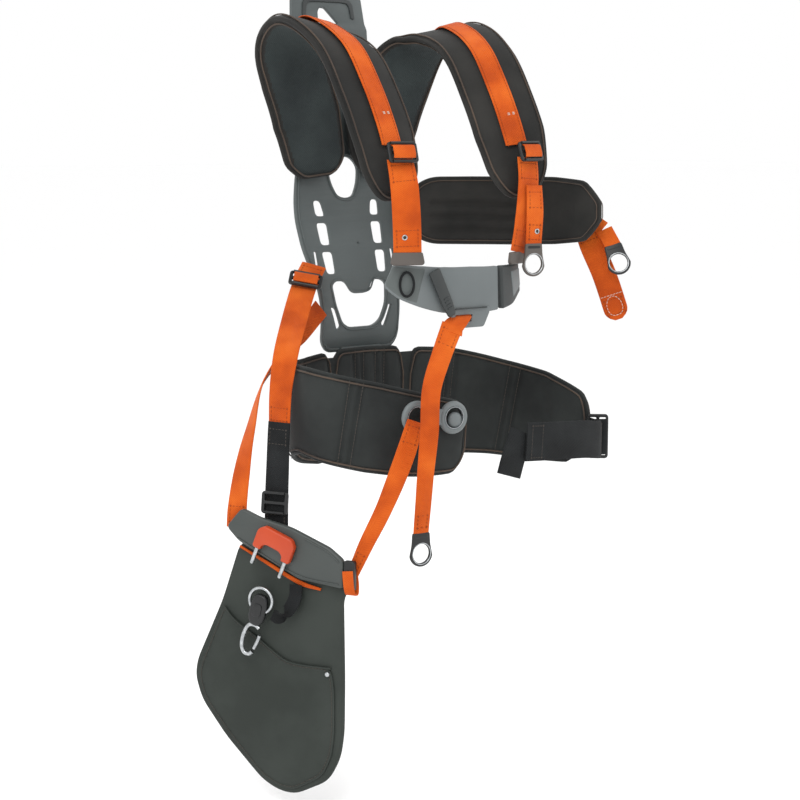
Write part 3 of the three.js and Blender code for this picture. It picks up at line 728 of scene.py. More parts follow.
def padPiece(node, stations, made, body, material):
    # made, in mm: thick, ends and bind are the pad's thickness, round ends and binding radius; cap and voxel
    # are for puffed; stripes, ribs and depth are its sewn channels
    samples = samplePath(stations, made.get("count", 64))
    slim = [(c, s, o, w - 2 * made["shrink"] * mm, r) for c, s, o, w, r in samples]
    bm = padMesh(slim, (made["thick"] - made["swell"]) * mm, made["ends"] * mm)
    pad = finishMesh(node + "_cushion", bm, material, body, 80)
    puffed(pad, made["pressure"], made["cap"] * mm, made["voxel"] * mm, samples)
    smooth = pad.modifiers.new("soft", "SUBSURF")
    smooth.levels = smooth.render_levels = 1
    applied(pad)
    groove(pad, samples, [d * mm for d in made.get("stripes", [])],
           [(a * mm, b * mm, c * mm) for a, b, c in made.get("ribs", [])], made.get("depth", 3) * mm)
    smoothed(pad.data, 80)
    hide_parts(node)
    if made.get("lined"):
        # spacer mesh on the wearer's side
        pad.data.materials.append(liningCover)
        for face in pad.data.polygons:
            centre, side, out, width, run = nearest(samples, face.center)
            if face.normal.dot(out) < -0.35 and abs((face.center - centre).dot(side)) < width / 2 - 0.011:
                face.material_index = 1
    rim = evenly(edgeLoop(samples, (made["bind"] * 0.9 + 0.6) * mm, made["ends"] * mm), 0.005)
    finishMesh(node + "_binding", tube(rim, made["bind"] * mm, 8, closed=True), material, body, 60)
    cords = []
    for lift in (1, -1):
        # piping cord sewn just inside the edge, on both faces
        level = lift * (made["thick"] * 0.32)
        loop = evenly(edgeLoop(samples, (made["shrink"] + 4.2) * mm, made["ends"] * mm, level * mm), 0.004)
        cords.append((tube(loop, made.get("piping", 1.0) * mm, 6, closed=True), None))
    finishMesh(node + "_piping", joined(*cords), bindingTape, body, 60)
    for d in made.get("stripes", []):
        centre, side, out, width, run = min(samples, key=lambda s: abs(s[4] - d * mm))
        for lift in (1, -1):
            # thread along the bottom of each channel
            level = lift * (made["thick"] / 2 - made["depth"] + 1.4) * mm
            steps = [(k / 12 - 0.5) * (width - 2 * (made["shrink"] + 3) * mm) for k in range(13)]
            seam(body, "grey", [centre + side * a + out * level for a in steps])


shoulderPad = {"thick": 18, "swell": 3, "shrink": 1.4, "ends": 26, "pressure": 4, "cap": 3.5, "voxel": 5,
               "bind": 3.0, "count": 80, "lined": True}
padPath = [
    (48, 3, 62, 1, 0, 0, 74), (50, 4, 80, 1, 0, 0, 92), (58, 9, 130, 1, -0.08, 0, 108),
    (80, 2, 184, 1, -0.15, 0.08, 104),
    (98, -18, 218, 1, -0.15, 0.2, 94), (105, -52, 234, 1, -0.05, 0.24, 90), (103, -92, 227, 1, 0, 0.16, 90),
    (98, -132, 202, 1, 0, 0.06, 90), (96, -165, 157, 1, 0, 0, 90), (95, -190, 112, 1, 0, 0, 90),
    (95, -204, 72, 1, 0, 0, 80),
    (95, -211, 40, 1, 0, 0, 56),
]
leftTurn = [(1, 0, 0), (1, 0, 0), (1, -0.08, 0), (1, -0.15, 0.08), (0.98, -0.2, 0.2), (0.97, -0.25, 0.24),
            (0.95, -0.32, 0.16),
            (0.93, -0.37, 0.06), (0.91, -0.4, 0), (0.92, -0.38, 0), (0.95, -0.28, 0), (1, -0.12, 0)]


def flipped(stations):
    return [(-x, y, z, sx, -sy, -sz, w) for x, y, z, sx, sy, sz, w in stations]


leftPath = [station[:3] + turn + station[6:] for station, turn in zip(padPath, leftTurn)]
shoulderStrap = {"span": (14.9 / 33, 28.2 / 33), "width": 27, "thick": 1.8, "lift": 11.2, "tuck": 6,
                 "tuckRun": 0.022}
for hand, route in (("right", flipped(padPath)), ("left", leftPath)):
    padPiece(f"shoulder_pad_{hand}", route, shoulderPad, "yoke", padCover)
    raised = []
    for centre, side, out, width, run in samplePath(route, 90, shoulderStrap["span"]):
        # the strap's start is tucked into the pad
        sunk = shoulderStrap["tuck"] * max(1 - run / shoulderStrap["tuckRun"], 0) ** 2
        raised.append((centre + out * (shoulderStrap["lift"] - sunk) * mm, side, out,
                       shoulderStrap["width"] * mm, run))
    strap = finishMesh(f"shoulder_webbing_{hand}", strapMesh(raised, shoulderStrap["thick"] * mm),
                       orangeWebbing, "yoke")
    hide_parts(f"shoulder_strap_{hand}")
    centre, side, out, width, run = min(raised, key=lambda s: abs(s[4] - raised[-1][4] + 0.036))
    for k in (-1.2, 0, 1.2):
        # pale bar tack
        seam("yoke", "pale",
             [centre + side * (a + 4) * mm + out.cross(side) * k * mm + out * 1.3 * mm for a in (-3, 0, 3)])
    for offset in (-10.8, 10.8):
        seam("yoke", "orange", [c + s * offset * mm + o * 1.2 * mm for c, s, o, w, r in raised])
print("shoulder pads made")

# side pad and hip belt: (x, y, top, bottom) stations
def panelPath(stations):
    return [(x, y, (top + bottom) / 2, 0, 0, 1, top - bottom) for x, y, top, bottom in stations]


sidePad = {"thick": 16, "swell": 3, "shrink": 1.4, "ends": 34, "pressure": 4, "cap": 3.5, "voxel": 4.5,
           "bind": 2.6,
           "ribs": [(-23, 12, 150), (-7, 12, 150), (9, 12, 150)], "depth": 6.5, "piping": 0.6}
padPiece("side_pad", panelPath([
    (84, -22, 58, -24), (120, -28, 59, -27), (160, -45, 59, -28), (198, -84, 59, -28), (220, -135, 59, -26),
    (228, -180, 55, -21), (228, -207, 38, -3)]), sidePad, "side", padCover)

beltPad = {"thick": 16, "swell": 3, "shrink": 1.4, "ends": 12, "pressure": 4, "cap": 3, "voxel": 5.5,
           "bind": 2.6, "depth": 3.5}
padPiece("belt_back", panelPath([(-52, -35, -149, -290), (0, -33, -148, -290), (52, -35, -150, -290)]),
         {**beltPad, "count": 24, "stripes": [30, 42, 62, 74]}, "back", beltCover)
padPiece("belt_wing_right", panelPath([
    (-62, -36, -150, -290), (-104, -47, -153, -282), (-139, -74, -153, -266), (-158, -118, -152, -256),
    (-154, -163, -156, -262), (-124, -206, -165, -270), (-78, -231, -178, -276), (-30, -238, -190, -276),
    (-16, -238, -206, -262)]), {**beltPad, "count": 90, "stripes": [60, 72, 208, 220]}, "right_hip", beltCover)
padPiece("belt_wing_left", panelPath([
    (62, -36, -152, -292), (120, -45, -157, -294), (175, -73, -172, -297), (212, -118, -186, -304),
    (229, -165, -207, -303), (231, -182, -230, -290)]), {**beltPad, "stripes": [50, 62, 134, 146]}, "left_hip",
         beltCover)
beltGusset = {"thick": 7, "height": 124, "reach": (45, 54, 62, 70, 80)}
for hand, sign in (("right", -1), ("left", 1)):
    stations = [(sign * x, -34.5 - 0.02 * max(x - 56, 0) ** 1.2, -221, 0, 0, 1, beltGusset["height"])
                for x in beltGusset["reach"]]
    gusset = strapMesh(samplePath(stations, 28), beltGusset["thick"] * mm, crown=0, ripple=0)
    gusset = finishMesh(f"belt_gusset_{hand}", gusset, beltCover, None)
    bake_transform(gusset)
print("belt and side pad made")

# straps: (x, y, z, side x, y, z, width) stations
straps = {
    "front_strap_right": ([(-95, -222, 84, 1, -0.2, 0, 32), (-95, -230, 56, 0.9, -0.42, 0, 32),
                           (-94, -233, 20, 0.87, -0.5, 0, 32), (-91, -231, -20, 0.87, -0.45, 0, 32)], 1.8,
                          orangeWebbing),
    "front_strap_left": ([(95, -222, 84, 1, 0.05, 0, 32), (93, -226.5, 56, 1, 0.05, 0, 32),
                          (88, -227, 10, 1, 0, 0, 32),
                          (81, -224, -26, 0.98, 0.2, 0, 32)], 1.8, orangeWebbing),
    "eye_strap_left": ([(98, -231, 52, 1, 0, 0, 24), (97, -234, 20, 1, -0.1, 0, 24),
                        (95, -234, -18.4, 1, -0.2, 0, 21)],
                       1.8, orangeWebbing),
    "drop_strap": ([(-33, -240, -104, 0.9, -0.4, 0, 25), (-54, -247, -135, 0.9, -0.4, 0, 23),
                    (-77, -257, -172, 0.85, -0.5, 0, 21.5),
                    (-97, -278, -215, 0.85, -0.5, 0, 21), (-103, -279, -262, 0.95, -0.3, 0, 20),
                    (-99, -265.6, -334.4, 1, -0.1, 0, 20)], 1.8, orangeWebbing),
    "side_tail": ([(243, -165, 3, 0.3, -0.95, 0, 30), (245, -172, -20, 0.45, -0.87, 0, 30),
                   (252, -192, -62, 0.6, -0.8, 0, 30),
                   (261, -210, -117, 0.75, -0.66, 0, 30)], 1.8, orangeWebbing),
    "side_eye_strap": ([(253, -190, -6, 0.8, -0.55, 0.3, 20), (254.3, -204.4, -25.2, 0.8, -0.55, 0.3, 20)], 1.8,
                       orangeWebbing),
    "waist_webbing": ([(229, -206, -264, 0, 0, -1, 46), (214, -228, -262, 0, 0, -1, 46),
                       (176, -241, -256, 0, 0, -1, 46),
                       (120, -246, -252, 0, 0, -1, 46), (76, -246, -249, 0, 0, -1, 46)], 2.2, blackWebbing),
    "waist_tail": ([(72, -242, -236, 1, 0, 0.2, 38), (62, -241, -262, 1, 0, 0.2, 38),
                    (54, -240, -288, 1, 0, 0.2, 38)],
                   2.2, blackWebbing),
    "side_strap": ([(-70, -21, -46, 0.61, -0.5, -0.15, 30), (-96, -39, -66, 0.65, -0.5, -0.15, 30),
                    (-132, -70, -100, 0.75, -0.6, -0.1, 30), (-170, -104, -142, 0.6, -0.75, 0, 30),
                    (-181, -110, -178, 0.4, -0.9, 0, 30), (-184, -110, -224, 0.3, -0.95, 0, 30)], 1.8,
                   orangeWebbing),
    "guard_strap": ([(-183.8, -110, -217, 0.3, -0.95, 0, 30.8), (-187, -111, -262, 0.4, -0.9, 0, 30),
                     (-193, -117, -304, 0.45, -0.88, 0, 30), (-200, -125.4, -346, 0.469, -0.883, 0, 30)], 2.6,
                    blackWebbing),
    "rear_strap": ([(-64, -26.6, -98, -0.65, 0, 0.75, 25), (-96, -32, -126, -0.65, -0.2, 0.7, 25),
                    (-130, -38, -150, -0.6, -0.6, 0.4, 25), (-166, -50, -180, -0.61, -0.79, 0, 25),
                    (-194, -64, -232, -0.2, -0.97, 0, 25), (-213, -74, -280, 0.25, -0.96, 0, 25),
                    (-224, -81, -320, 0.469, -0.883, 0, 25),
                    (-224.8, -79.6, -341, 0.469, -0.883, 0, 25)], 1.8, orangeWebbing),
    "front_guard_strap": ([(-97, -252.6, -207, 1, -0.1, 0, 21), (-109, -252, -240, 0.85, -0.5, 0, 22),
                           (-129, -240, -300, 0.4, -0.92, 0, 21), (-145, -222, -350, 0.4, -0.9, 0, 18),
                           (-153.6, -210.4, -382, 0.469, -0.883, 0, 14)], 1.8, orangeWebbing),
}

# the roots of the tail and of the eye strap, sewn into the side pad's outer face
sewnRoots = {
    "side_tail_root": [(229, -150, 24, 0.3, -0.95, 0, 29), (237, -157, 17, 0.3, -0.95, 0, 29),
                       (242, -163.5, 9, 0.3, -0.95, 0, 29),
                       (243.2, -165.4, 1, 0.3, -0.95, 0, 29)],
    "side_eye_root": [(240, -161, 6, 0.3, -0.35, 0.88, 18), (247, -175, 3, 0.45, -0.4, 0.8, 18),
                      (252.6, -188.5, -4.4, 0.78, -0.52, 0.34, 19)],
}
for name, stations in sewnRoots.items():
    root = finishMesh(name, strapMesh(samplePath(stations, 24), 1.6 * mm, crown=0.2, ripple=0), orangeWebbing,
                      "side")


def eyelets(name, body, samples, spots, thick):
    # pressed eyelets: a pale rolled rim round a black disc, painted shade standing in for the hole; spots are
    # (distance along, offset across) in mm
    rims, holes = [], []
    for distance, offset in spots:
        centre, side, out, width, run = min(samples, key=lambda s: abs(s[4] - distance * mm))
        place = Matrix((side, -out, side.cross(-out))).transposed().to_4x4()
        place.translation = centre + side * offset * mm + out * (thick / 2 + 0.5) * mm
        rims.append((turned(ovalRing(2.5, 0.8, 0.7, 8), 20), place))
        # black disc in place of the hole through the strap: painted shade
        holes.append((turned([(0, -0.35), (2.2, -0.35), (2.2, 0.6), (0, 0.6)], 16), place))
    finishMesh(name + "_rims", joined(*rims), platedSteel, body, 60)
    finishMesh(name + "_holes", joined(*holes), blackNylonAndShade, body, 40)


sewnBox = {"start": 0.006, "end": 0.026, "inset": 0.004}
eyeletSpots = {"front_strap_right": [(88, -3)], "eye_strap_left": [(54, 3)], "side_tail": [(14, -6)]}
for node, (stations, thick, material) in straps.items():
    body = bodyOf(node)
    samples = samplePath(stations, 16 * (len(stations) - 1))
    if node in eyeletSpots:
        eyelets(node, body, samples, eyeletSpots[node], thick)
    bm = strapMesh(samples, thick * mm, ripple=0.15, endRound=0.014 if node == "side_tail" else 0.0)
    strap = finishMesh(node + "_webbing", bm, material, body)
    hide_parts(node)
    kind = "orange" if material is orangeWebbing else "grey"
    height = thick / 2 * mm + 0.35 * mm
    total = samples[-1][4]
    if total > 0.06:
        # a sewn box at each end, on the outer face
        for start, end in ((sewnBox["start"], sewnBox["end"]),
                           (total - sewnBox["end"], total - sewnBox["start"])):
            box = [s for s in samples if start <= s[4] <= end]
            if len(box) > 1:
                rows = [[c + s * a * (w / 2 - sewnBox["inset"]) + o * height for c, s, o, w, r in box]
                        for a in (-1, 1)]
                for c, s, o, w, r in (box[0], box[-1]):
                    rows.append([c + s * (k / 6 * 2 - 1) * (w / 2 - sewnBox["inset"]) + o * height
                                 for k in range(7)])
                for row in rows:
                    seam(body, kind, row)

# an oval and a bar in pale thread, in metres from the tail's end; lift in mm
tailStitch = {"middle": 0.017, "long": 0.012, "wide": 0.0095, "bar": 0.031, "lift": 1.35}
tail = samplePath(straps["side_tail"][0], 90)
end = tail[-1][4]
loop = []
for k in range(33):
    a = 2 * math.pi * k / 32
    spot = end - tailStitch["middle"] + tailStitch["long"] * math.cos(a)
    centre, side, out, width, run = min(tail, key=lambda s: abs(s[4] - spot))
    loop.append(centre + side * tailStitch["wide"] * math.sin(a) + out * tailStitch["lift"] * mm)
seam(bodyOf("side_tail"), "pale", loop)
centre, side, out, width, run = min(tail, key=lambda s: abs(s[4] - (end - tailStitch["bar"])))
seam(bodyOf("side_tail"), "pale",
     [centre + side * a * mm + out * tailStitch["lift"] * mm for a in range(-12, 13, 4)])
print("straps made:", len(straps))

# back plate and height slider

plate = {"thick": 5, "edge": 1.1, "row": 6}
spine = [(28.1, 176), (12.9, 60), (7.08, 26), (-12.526, -46), (-20, -75), (-24, -102), (-22.5, -126),
         (-17, -158)]
spineLine = [pathPoint([Vector((0, y, z)) * mm for y, z in spine[::-1]], k / 300) for k in range(301)]


def spineAt(z):
    # front face of the plate and its normal at a height in metres
    i = min(range(len(spineLine)), key=lambda k: abs(spineLine[k].z - z))
    i = min(max(i, 1), len(spineLine) - 2)
    a, b = spineLine[i - 1], spineLine[i + 1]
    y = a.y + (b.y - a.y) * (z - a.z) / (b.z - a.z)
    return y, Vector((0, b.z - a.z, a.y - b.y)).normalized()


def bentToSpine(bm, row):
    # cuts a flat plate into rows this many mm high and bends it along the spine
    for k in range(int(340 / row)):
        bmesh.ops.bisect_plane(bm, geom=bm.verts[:] + bm.edges[:] + bm.faces[:],
                               plane_co=(0, 0, (-160 + k * row) * mm),
                               plane_no=(0, 0, 1), dist=1e-6)
    for vertex in bm.verts:
        y, normal = spineAt(vertex.co.z)
        vertex.co = Vector((vertex.co.x, y, vertex.co.z)) + normal * vertex.co.y
    return bm


def mirrored(points):
    return [(-x, z) for x, z in points][::-1]


plateEdge = [(40, 172), (50, 132), (62, 92), (71, 62), (77, 30), (79, 8), (76, -26), (69, -52), (62, -76),
             (60, -100),
             (59, -142), (50, -155)]
windows = [[(34, 12), (49, 12), (50, 31), (38, 31)], [(33, -23), (48, -23), (50, 4), (33, 4)],
           [(32, -58), (46, -58), (49, -31), (32, -31)]]
heart = [(-12, 36), (0, 33), (12, 36), (20, 52), (23, 72), (12, 84), (-12, 84), (-23, 72), (-20, 52)]
mouth = [(-41, -72), (-34, -67), (-21, -67), (-12, -83), (12, -83), (21, -67), (34, -67), (41, -72), (38, -96),
         (29, -118), (18, -125), (-18, -125), (-29, -118), (-38, -96)]
lowSlot = [(40, -100), (47, -98), (37, -127), (31, -124)]
strapSlot = [(56, -30), (61, -30), (61, -60), (56, -56)]
holes = [softOutline(h, 5) for w in windows for h in (w, mirrored(w))]
holes += [softOutline(heart, 9), softOutline(mouth, 7)]
holes += [softOutline(h, 3) for s in (lowSlot, strapSlot) for h in (s, mirrored(s))]
holes += [arc(8, -22, 1.3, 0, 330, 11)]
shell = cutPlate([softOutline(plateEdge + mirrored(plateEdge), 10)] + holes, plate["thick"], plate["edge"])
backPlate = finishMesh("moulded_back_plate", bentToSpine(shell, plate["row"]), platePlastic, "back", 35)
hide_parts("back_plate")


def grown(points, by):
    # outline moved outward from its middle by about the given mm
    cx = sum(p[0] for p in points) / len(points)
    cz = sum(p[1] for p in points) / len(points)
    moved = []
    for x, z in points:
        away = math.hypot(x - cx, z - cz)
        moved.append((x + by * (x - cx) / away, z + by * (z - cz) / away))
    return moved


def bentRim(points, lift=0.3):
    # outline points laid on the bent plate's front face
    spots = []
    for x, z in points:
        y, normal = spineAt(z * mm)
        spots.append(Vector((x * mm, y, z * mm)) - normal * lift * mm)
    return spots


rims = [(tube(evenly(bentRim(softOutline(grown(o, d), 8)), 0.003), r * mm, 8, closed=True), None)
        for o, d, r in ((heart, 3.2, 1.3), (mouth, 3.0, 1.1))]
outerRim = bentRim(softOutline(grown(plateEdge + mirrored(plateEdge), -4.5), 10))
rims.append((tube(evenly(outerRim, 0.004), 1.2 * mm, 8, closed=True), None))
finishMesh("plate_rims", joined(*rims), platePlastic, "back", 60)

upper = frameAt((0, 12.9, 60), (1, 0, 0), (0, math.sin(math.radians(7.5)), math.cos(math.radians(7.5))))
sliderEdge = [(24, 27), (24, 127), (46, 137), (58, 160), (59, 184), (56, 190), (52, 232), (44, 244), (30, 250)]
sliderHoles = [softOutline([(-15, 204), (-12, 209), (-4, 209), (15, 190), (-15, 190)], 2.5)]


def roundBox(w, h, r, x=0, z=0, steps=4):
    # rectangle with round corners, centred on (x, z), in mm
    points = []
    for sx, sz, start in ((1, -1, -90), (1, 1, 0), (-1, 1, 90), (-1, -1, 180)):
        points += arc(x + sx * (w / 2 - r), z + sz * (h / 2 - r), r, start, start + 90, steps)
    return points


sliderHoles.append(roundBox(64, 14, 6.5, 0, 230))
sliderHoles += [roundBox(16, 8, 2, 0, z) for z in (45, 70, 95)]
slider = cutPlate([softOutline(sliderEdge + mirrored(sliderEdge), 8)] + sliderHoles, 5, 1.2, front=5.4)
slider = finishMesh("moulded_height_slider", joined((slider, upper)), platePlastic, "yoke", 35)
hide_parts("height_slider")
horseshoe = [(-40, 196), (-38, 214), (-34, 219), (-24, 220), (24, 220), (34, 219), (38, 214), (40, 196)]
horseshoe = softOutline(horseshoe + [(x * 0.86, z - (4 if z > 200 else 0)) for x, z in horseshoe[::-1]], 2)
finishMesh("slider_rib", joined((cutPlate([horseshoe], 1.8, 0.5, front=3.8), upper)), darkPlastic, "yoke", 35)
gripRim = evenly([Vector((x, 5.2, z)) * mm for x, z in roundBox(69, 19, 9, 0, 230)], 0.003)
finishMesh("slider_grip_rim", joined((tube(gripRim, 1.4 * mm, 8, closed=True), upper)), platePlastic, "yoke",
           60)

for node in ("rail_right", "rail_left", "lock_bridge", "belt_mount"):
    refined(node, platePlastic, "back", 0.8)
refined("height_lock", redPlastic, bodyOf("height_lock"), 1.2, 3)
print("plate and slider made")

# locks, keepers, rings

def ladderLock(width, height):
    # ladder lock: a frame with a middle bar between two slots
    outlines = [roundBox(width, height, 4)]
    outlines += [roundBox(width - 8, height / 2 - 4.5, 1.5, 0, z)
                 for z in (height / 4 - 0.4, -height / 4 + 0.4)]
    return cutPlate(outlines, 3.5, 0.9)


def carried(place, points, across, width):
    # stations of one width, moved with a part's frame
    return [tuple(place @ (Vector(p) * mm) / mm) + tuple(across) + (width,) for p in points]


locks = {
    "shoulder_lock_right": (frameAt((-95, -228.5, 92), (1, -0.12, 0), (0, 0.3, 0.95)), 38, 24),
    "shoulder_lock_left": (frameAt((96, -228.5, 92), (1, 0.12, 0), (0, 0.3, 0.95)), 38, 24),
    "side_lock": (frameAt((-98.7, -44.2, -59.8), (0.78, -0.6, -0.18), (0.63, 0.47, 0.62)), 40, 22),
    "guard_lock": (frameAt((-199.6, -121.4, -308), (0.469, -0.883, 0), (0.1, 0.1, 1)), 34, 26),
    "waist_lock": (frameAt((234, -203, -263), (0, 0, 1), (-0.75, 0.66, 0)), 56, 26),
}
for node, (place, width, height) in locks.items():
    bars = [(ladderLock(width, height), place)]
    for z in (height / 2 - 1.6, -height / 2 + 1.6):
        # rolled outer bars, ribbed for the thumb
        roll = [Vector((x, -0.4, z)) * mm for x in (-width / 2 + 4, width / 2 - 4)]
        bars.append((tube(roll, 1.7 * mm, 10), place))
    lock = finishMesh(node + "_frame", joined(*bars), blackNylonAndShade, bodyOf(node), 35)
    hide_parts(node)
    across = place.to_3x3() @ Vector((1, 0, 0))
    if node == "waist_lock":
        # the waist webbing goes round the lock's outer bar, and the belt's own tab into its other slot
        fold = [(0, 0.6, -12.6), (0, -2.6, -7.4), (0, -3.0, 1.5), (0, -2.4, 6.0), (0, 1.2, 7.6)]
        wrap = strapMesh(samplePath(carried(place, fold, across, 45), 24), 2 * mm, crown=0.2, ripple=0)
        wrap = finishMesh("waist_lock_fold", wrap, blackWebbing, bodyOf(node))
        tab = [(230, -176, -262, 0, 0, 1, 44), (232.5, -189, -262.5, 0, 0, 1, 44),
               (230, -201, -263, 0, 0, 1, 44),
               (227.5, -206, -263, 0, 0, 1, 44)]
        tab = finishMesh("belt_end_tab", strapMesh(samplePath(tab, 24), 2 * mm, crown=0.2, ripple=0),
                         blackWebbing, "left_hip")
    if "shoulder" in node or node == "side_lock":
        # end of the webbing, folded back over the lock's middle bar
        fold = [(0, -0.2, 7.5), (0, -2.4, 6.0), (0, -2.9, 1.5), (0, -2.9, -3.5), (0, -1.6, -7.2)]
        route = carried(place, fold, across, 28 if width < 40 else 29)
        flap = strapMesh(samplePath(route[::-1], 20), 1.6 * mm, crown=0.2, ripple=0)
        flap = finishMesh(node + "_fold", flap, orangeWebbing, bodyOf(node))

keepers = {"strap_keeper_right": ((-91, -231, -27.4), (0.88, -0.47, 0)),
           "strap_keeper_left": ((78, -224, -33), (0.92, 0.4, 0))}
for node, (spot, across) in keepers.items():
    shape = [(-17, 8), (17, 8), (19.5, -4), (17, -6.5), (-17, -6.5), (-19.5, -4)]
    keeper = joined((cutPlate([softOutline(shape, 2)], 6, 1.6, front=-3), frameAt(spot, across, (0, 0, 1))))
    keeper = finishMesh(node + "_slide", keeper, keeperPlastic, bodyOf(node), 40)
    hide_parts(node)
refined("bar_clip", blackNylonAndShade, bodyOf("bar_clip"), 1.8, 3)


ringClip = {"outer": 15, "inner": 11, "drop": 24}


def dRing():
    # cast clip: a shoulder with a black block painted in as the shade of its strap slot, and a round eye with a
    # thin raised oval rim
    outer, inner, drop = ringClip["outer"], ringClip["inner"], ringClip["drop"]
    outline = [(-11, 0), (-12, -14)] + arc(0, -drop, outer, 190, 350, 24) + [(12, -14), (11, 0)]
    eye = arc(0, -drop, inner, 0, 345, 23)
    body = cutPlate([softOutline(outline, 2.5, 3), eye], 4, 1.3, front=-2)
    lip = turned(ovalRing(inner + 1.2, 1.1, 2.2), 36)
    lip.transform(Matrix.Translation((0, 0, -drop * mm)))
    # black block where the strap slot is: painted shade
    slot = cutPlate([roundBox(17, 3.2, 1.5, 0, -4.4)], 4.5, 0.4, front=-2.25)
    return body, lip, slot


rings = {
    "eye_ring_left": frameAt((95, -234, -15.6), (0.98, -0.2, 0), (0, 0, 1)),
    "drop_ring": frameAt((-99, -265.6, -331.8), (1, -0.1, 0), (0, 0, 1)),
    "side_ring": frameAt((254.4, -203.4, -24.2), (0.8, -0.55, 0.3), (-0.3, 0.6, 1)),
}
for node, place in rings.items():
    clipBody, lip, slot = dRing()
    clipPlastic = keeperPlastic if node == "eye_ring_left" else blackNylonAndShade
    holder = finishMesh(node + "_clip", joined((clipBody, place)), clipPlastic, bodyOf(node), 35)
    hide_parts(node)
    finishMesh(node + "_lip", joined((lip, place)), platedSteel, bodyOf(node), 60)
    finishMesh(node + "_slot", joined((slot, place)), blackNylonAndShade, bodyOf(node), 35)

pullPlace = frameAt((-86, -223.5, -56), (0.9, -0.44, 0), (0, 0, 1))
pullTurns = [2 * math.pi * k / 32 for k in range(32)]
pull = tube([Vector((8 * math.cos(a), 0, 13.6 * math.sin(a))) * mm for a in pullTurns], 1.5 * mm, 10,
            closed=True)
pull = finishMesh("cord_pull", joined((pull, pullPlace)), blackWebbing, bodyOf("pull_loop"), 60)
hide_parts("pull_loop")
print("locks and rings made")

# chest plate

chest = [(-101, -209, -32, -60), (-86, -217, -34, -73), (-66, -224, -36, -82), (-38, -230, -38, -90),
         (0, -232, -39, -92),
         (28, -230, -40, -92), (45, -227, -40, -91)]
clip = [(49, -226.5, -40, -91), (70, -219, -40, -87), (96, -203, -38, -74)]


def shellPanel(stations, thick, edge=1.4, count=60, ends=3.0):
    # curved panel with softly rounded edges and corners
    corner = ((0.0, 0.55), (0.35, 0.15), (1.0, 0.0))
    rows = [(x, y, (t + b) / 2, 0, 0, -1, t - b) for x, y, t, b in stations]
    samples = samplePath(rows, count)
    total = samples[-1][4]
    bm = bmesh.new()
    rings = []
    for centre, side, out, width, run in samples:
        k = roundEnd(min(run, total - run), ends * mm)
        half, t = width / 2 - ends * mm * (1 - k) * 0.8, thick / 2 * mm * (0.5 + 0.5 * k)
        ring = []
        for sx, sy in ((1, 1), (-1, 1), (-1, -1), (1, -1)):
            for a, b in corner if sx * sy > 0 else corner[::-1]:
                ring.append(bm.verts.new(centre + side * sx * (half - a * edge * mm)
                                         + out * sy * (t - b * edge * mm)))
        rings.append(ring)
    size = len(rings[0])
    for ra, rb in zip(rings, rings[1:]):
        for j in range(size):
            n = (j + 1) % size
            bm.faces.new((ra[j], ra[n], rb[n], rb[j]))
    bm.faces.new(rings[0])
    bm.faces.new(rings[-1])
    return bm, samples


tabEdge = [(-31, -86), (28, -86), (28, -92), (19, -109), (-24, -109), (-31, -92)]
tabSlot = [(-24, -94), (2, -94), (0, -102), (-20, -102)]
panel, chestRows = shellPanel(chest, 5)
tab = cutPlate([softOutline(tabEdge, 3), softOutline(tabSlot, 1.5)], 4, 1.0, front=-234.5)
chestBody = bodyOf("chest_plate")
plateFront = finishMesh("chest_panel", joined((panel, None), (tab, None)), chestPlastic, chestBody, 40)
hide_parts("chest_plate")


def raisedRun(samples, across, radius, lift, start, end):
    # round rib along a panel, between two shares of its length
    total = samples[-1][4]
    line = [c + s * (w / 2 * across) + o * lift * mm for c, s, o, w, r in samples if start <= r / total <= end]
    return tube(line, radius * mm, 8)


ridges = [(raisedRun(chestRows, a, 0.9, 2.3, 0.05, 0.98), None) for a in (-0.86, 0.86)]
finishMesh("chest_ridges", joined(*ridges), chestPlastic, chestBody, 60)
wing = shellPanel([(x, y - 0.7, t - 2, b + 2) for x, y, t, b in chest[:3]], 4.4, count=24)[0]
finishMesh("chest_wing", joined((wing, None)), wingPlastic, chestBody, 40)
line = tube([Vector((x, -236.4 + abs(x) * 0.02, -86.5)) * mm for x in range(-26, 26, 4)], 0.8 * mm, 6)
rivet = turned([(0, -237.2), (1.6, -237.0), (2.4, -236.0), (2.4, -234.4), (0, -234.4)], 18)
rivet.transform(Matrix.Translation((-11 * mm, 2.2 * mm, -97.5 * mm)))
finishMesh("tab_details", joined((line, None), (rivet, None)), darkPlastic, chestBody, 50)
head = [(-8, -231, -96, 0.98, -0.2, 0, 17), (-13, -235.5, -96.5, 0.97, -0.25, 0, 17),
        (-21, -239, -99, 0.93, -0.35, 0, 20),
        (-33, -241.2, -106, 0.9, -0.4, 0, 24), (-37, -243.2, -112, 0.9, -0.4, 0, 25)]
head = finishMesh("drop_strap_head", strapMesh(samplePath(head, 30), 1.5 * mm, ripple=0), orangeWebbing,
                  bodyOf("drop_strap"))
glimpse = [(-25, -231, -98, 0, 0, -1, 9), (-10, -231.5, -98, 0, 0, -1, 9), (4, -231, -98, 0, 0, -1, 9)]
finishMesh("tab_webbing", strapMesh(samplePath(glimpse, 10), 1.4 * mm, ripple=0), orangeWebbing,
                   chestBody)

clipShell = shellPanel(clip, 8, edge=2.2, count=30)[0]
clipFront = finishMesh("chest_clip_shell", joined((clipShell, None)), darkPlastic, bodyOf("chest_clip"), 40)
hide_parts("chest_clip")
band, bandRows = shellPanel([(x, y - 1.0, t - 7, b + 7) for x, y, t, b in clip[1:]], 8, edge=2, count=16)
finishMesh("chest_clip_face", joined((band, None)), chestPlastic, bodyOf("chest_clip"), 40)
# black rod along the clip face: painted shade of the slit
slitShade = raisedRun(bandRows, 0.1, 1.6, 4.4, 0.25, 0.85)
finishMesh("chest_clip_slit", joined((slitShade, None)), blackNylonAndShade, bodyOf("chest_clip"), 60)

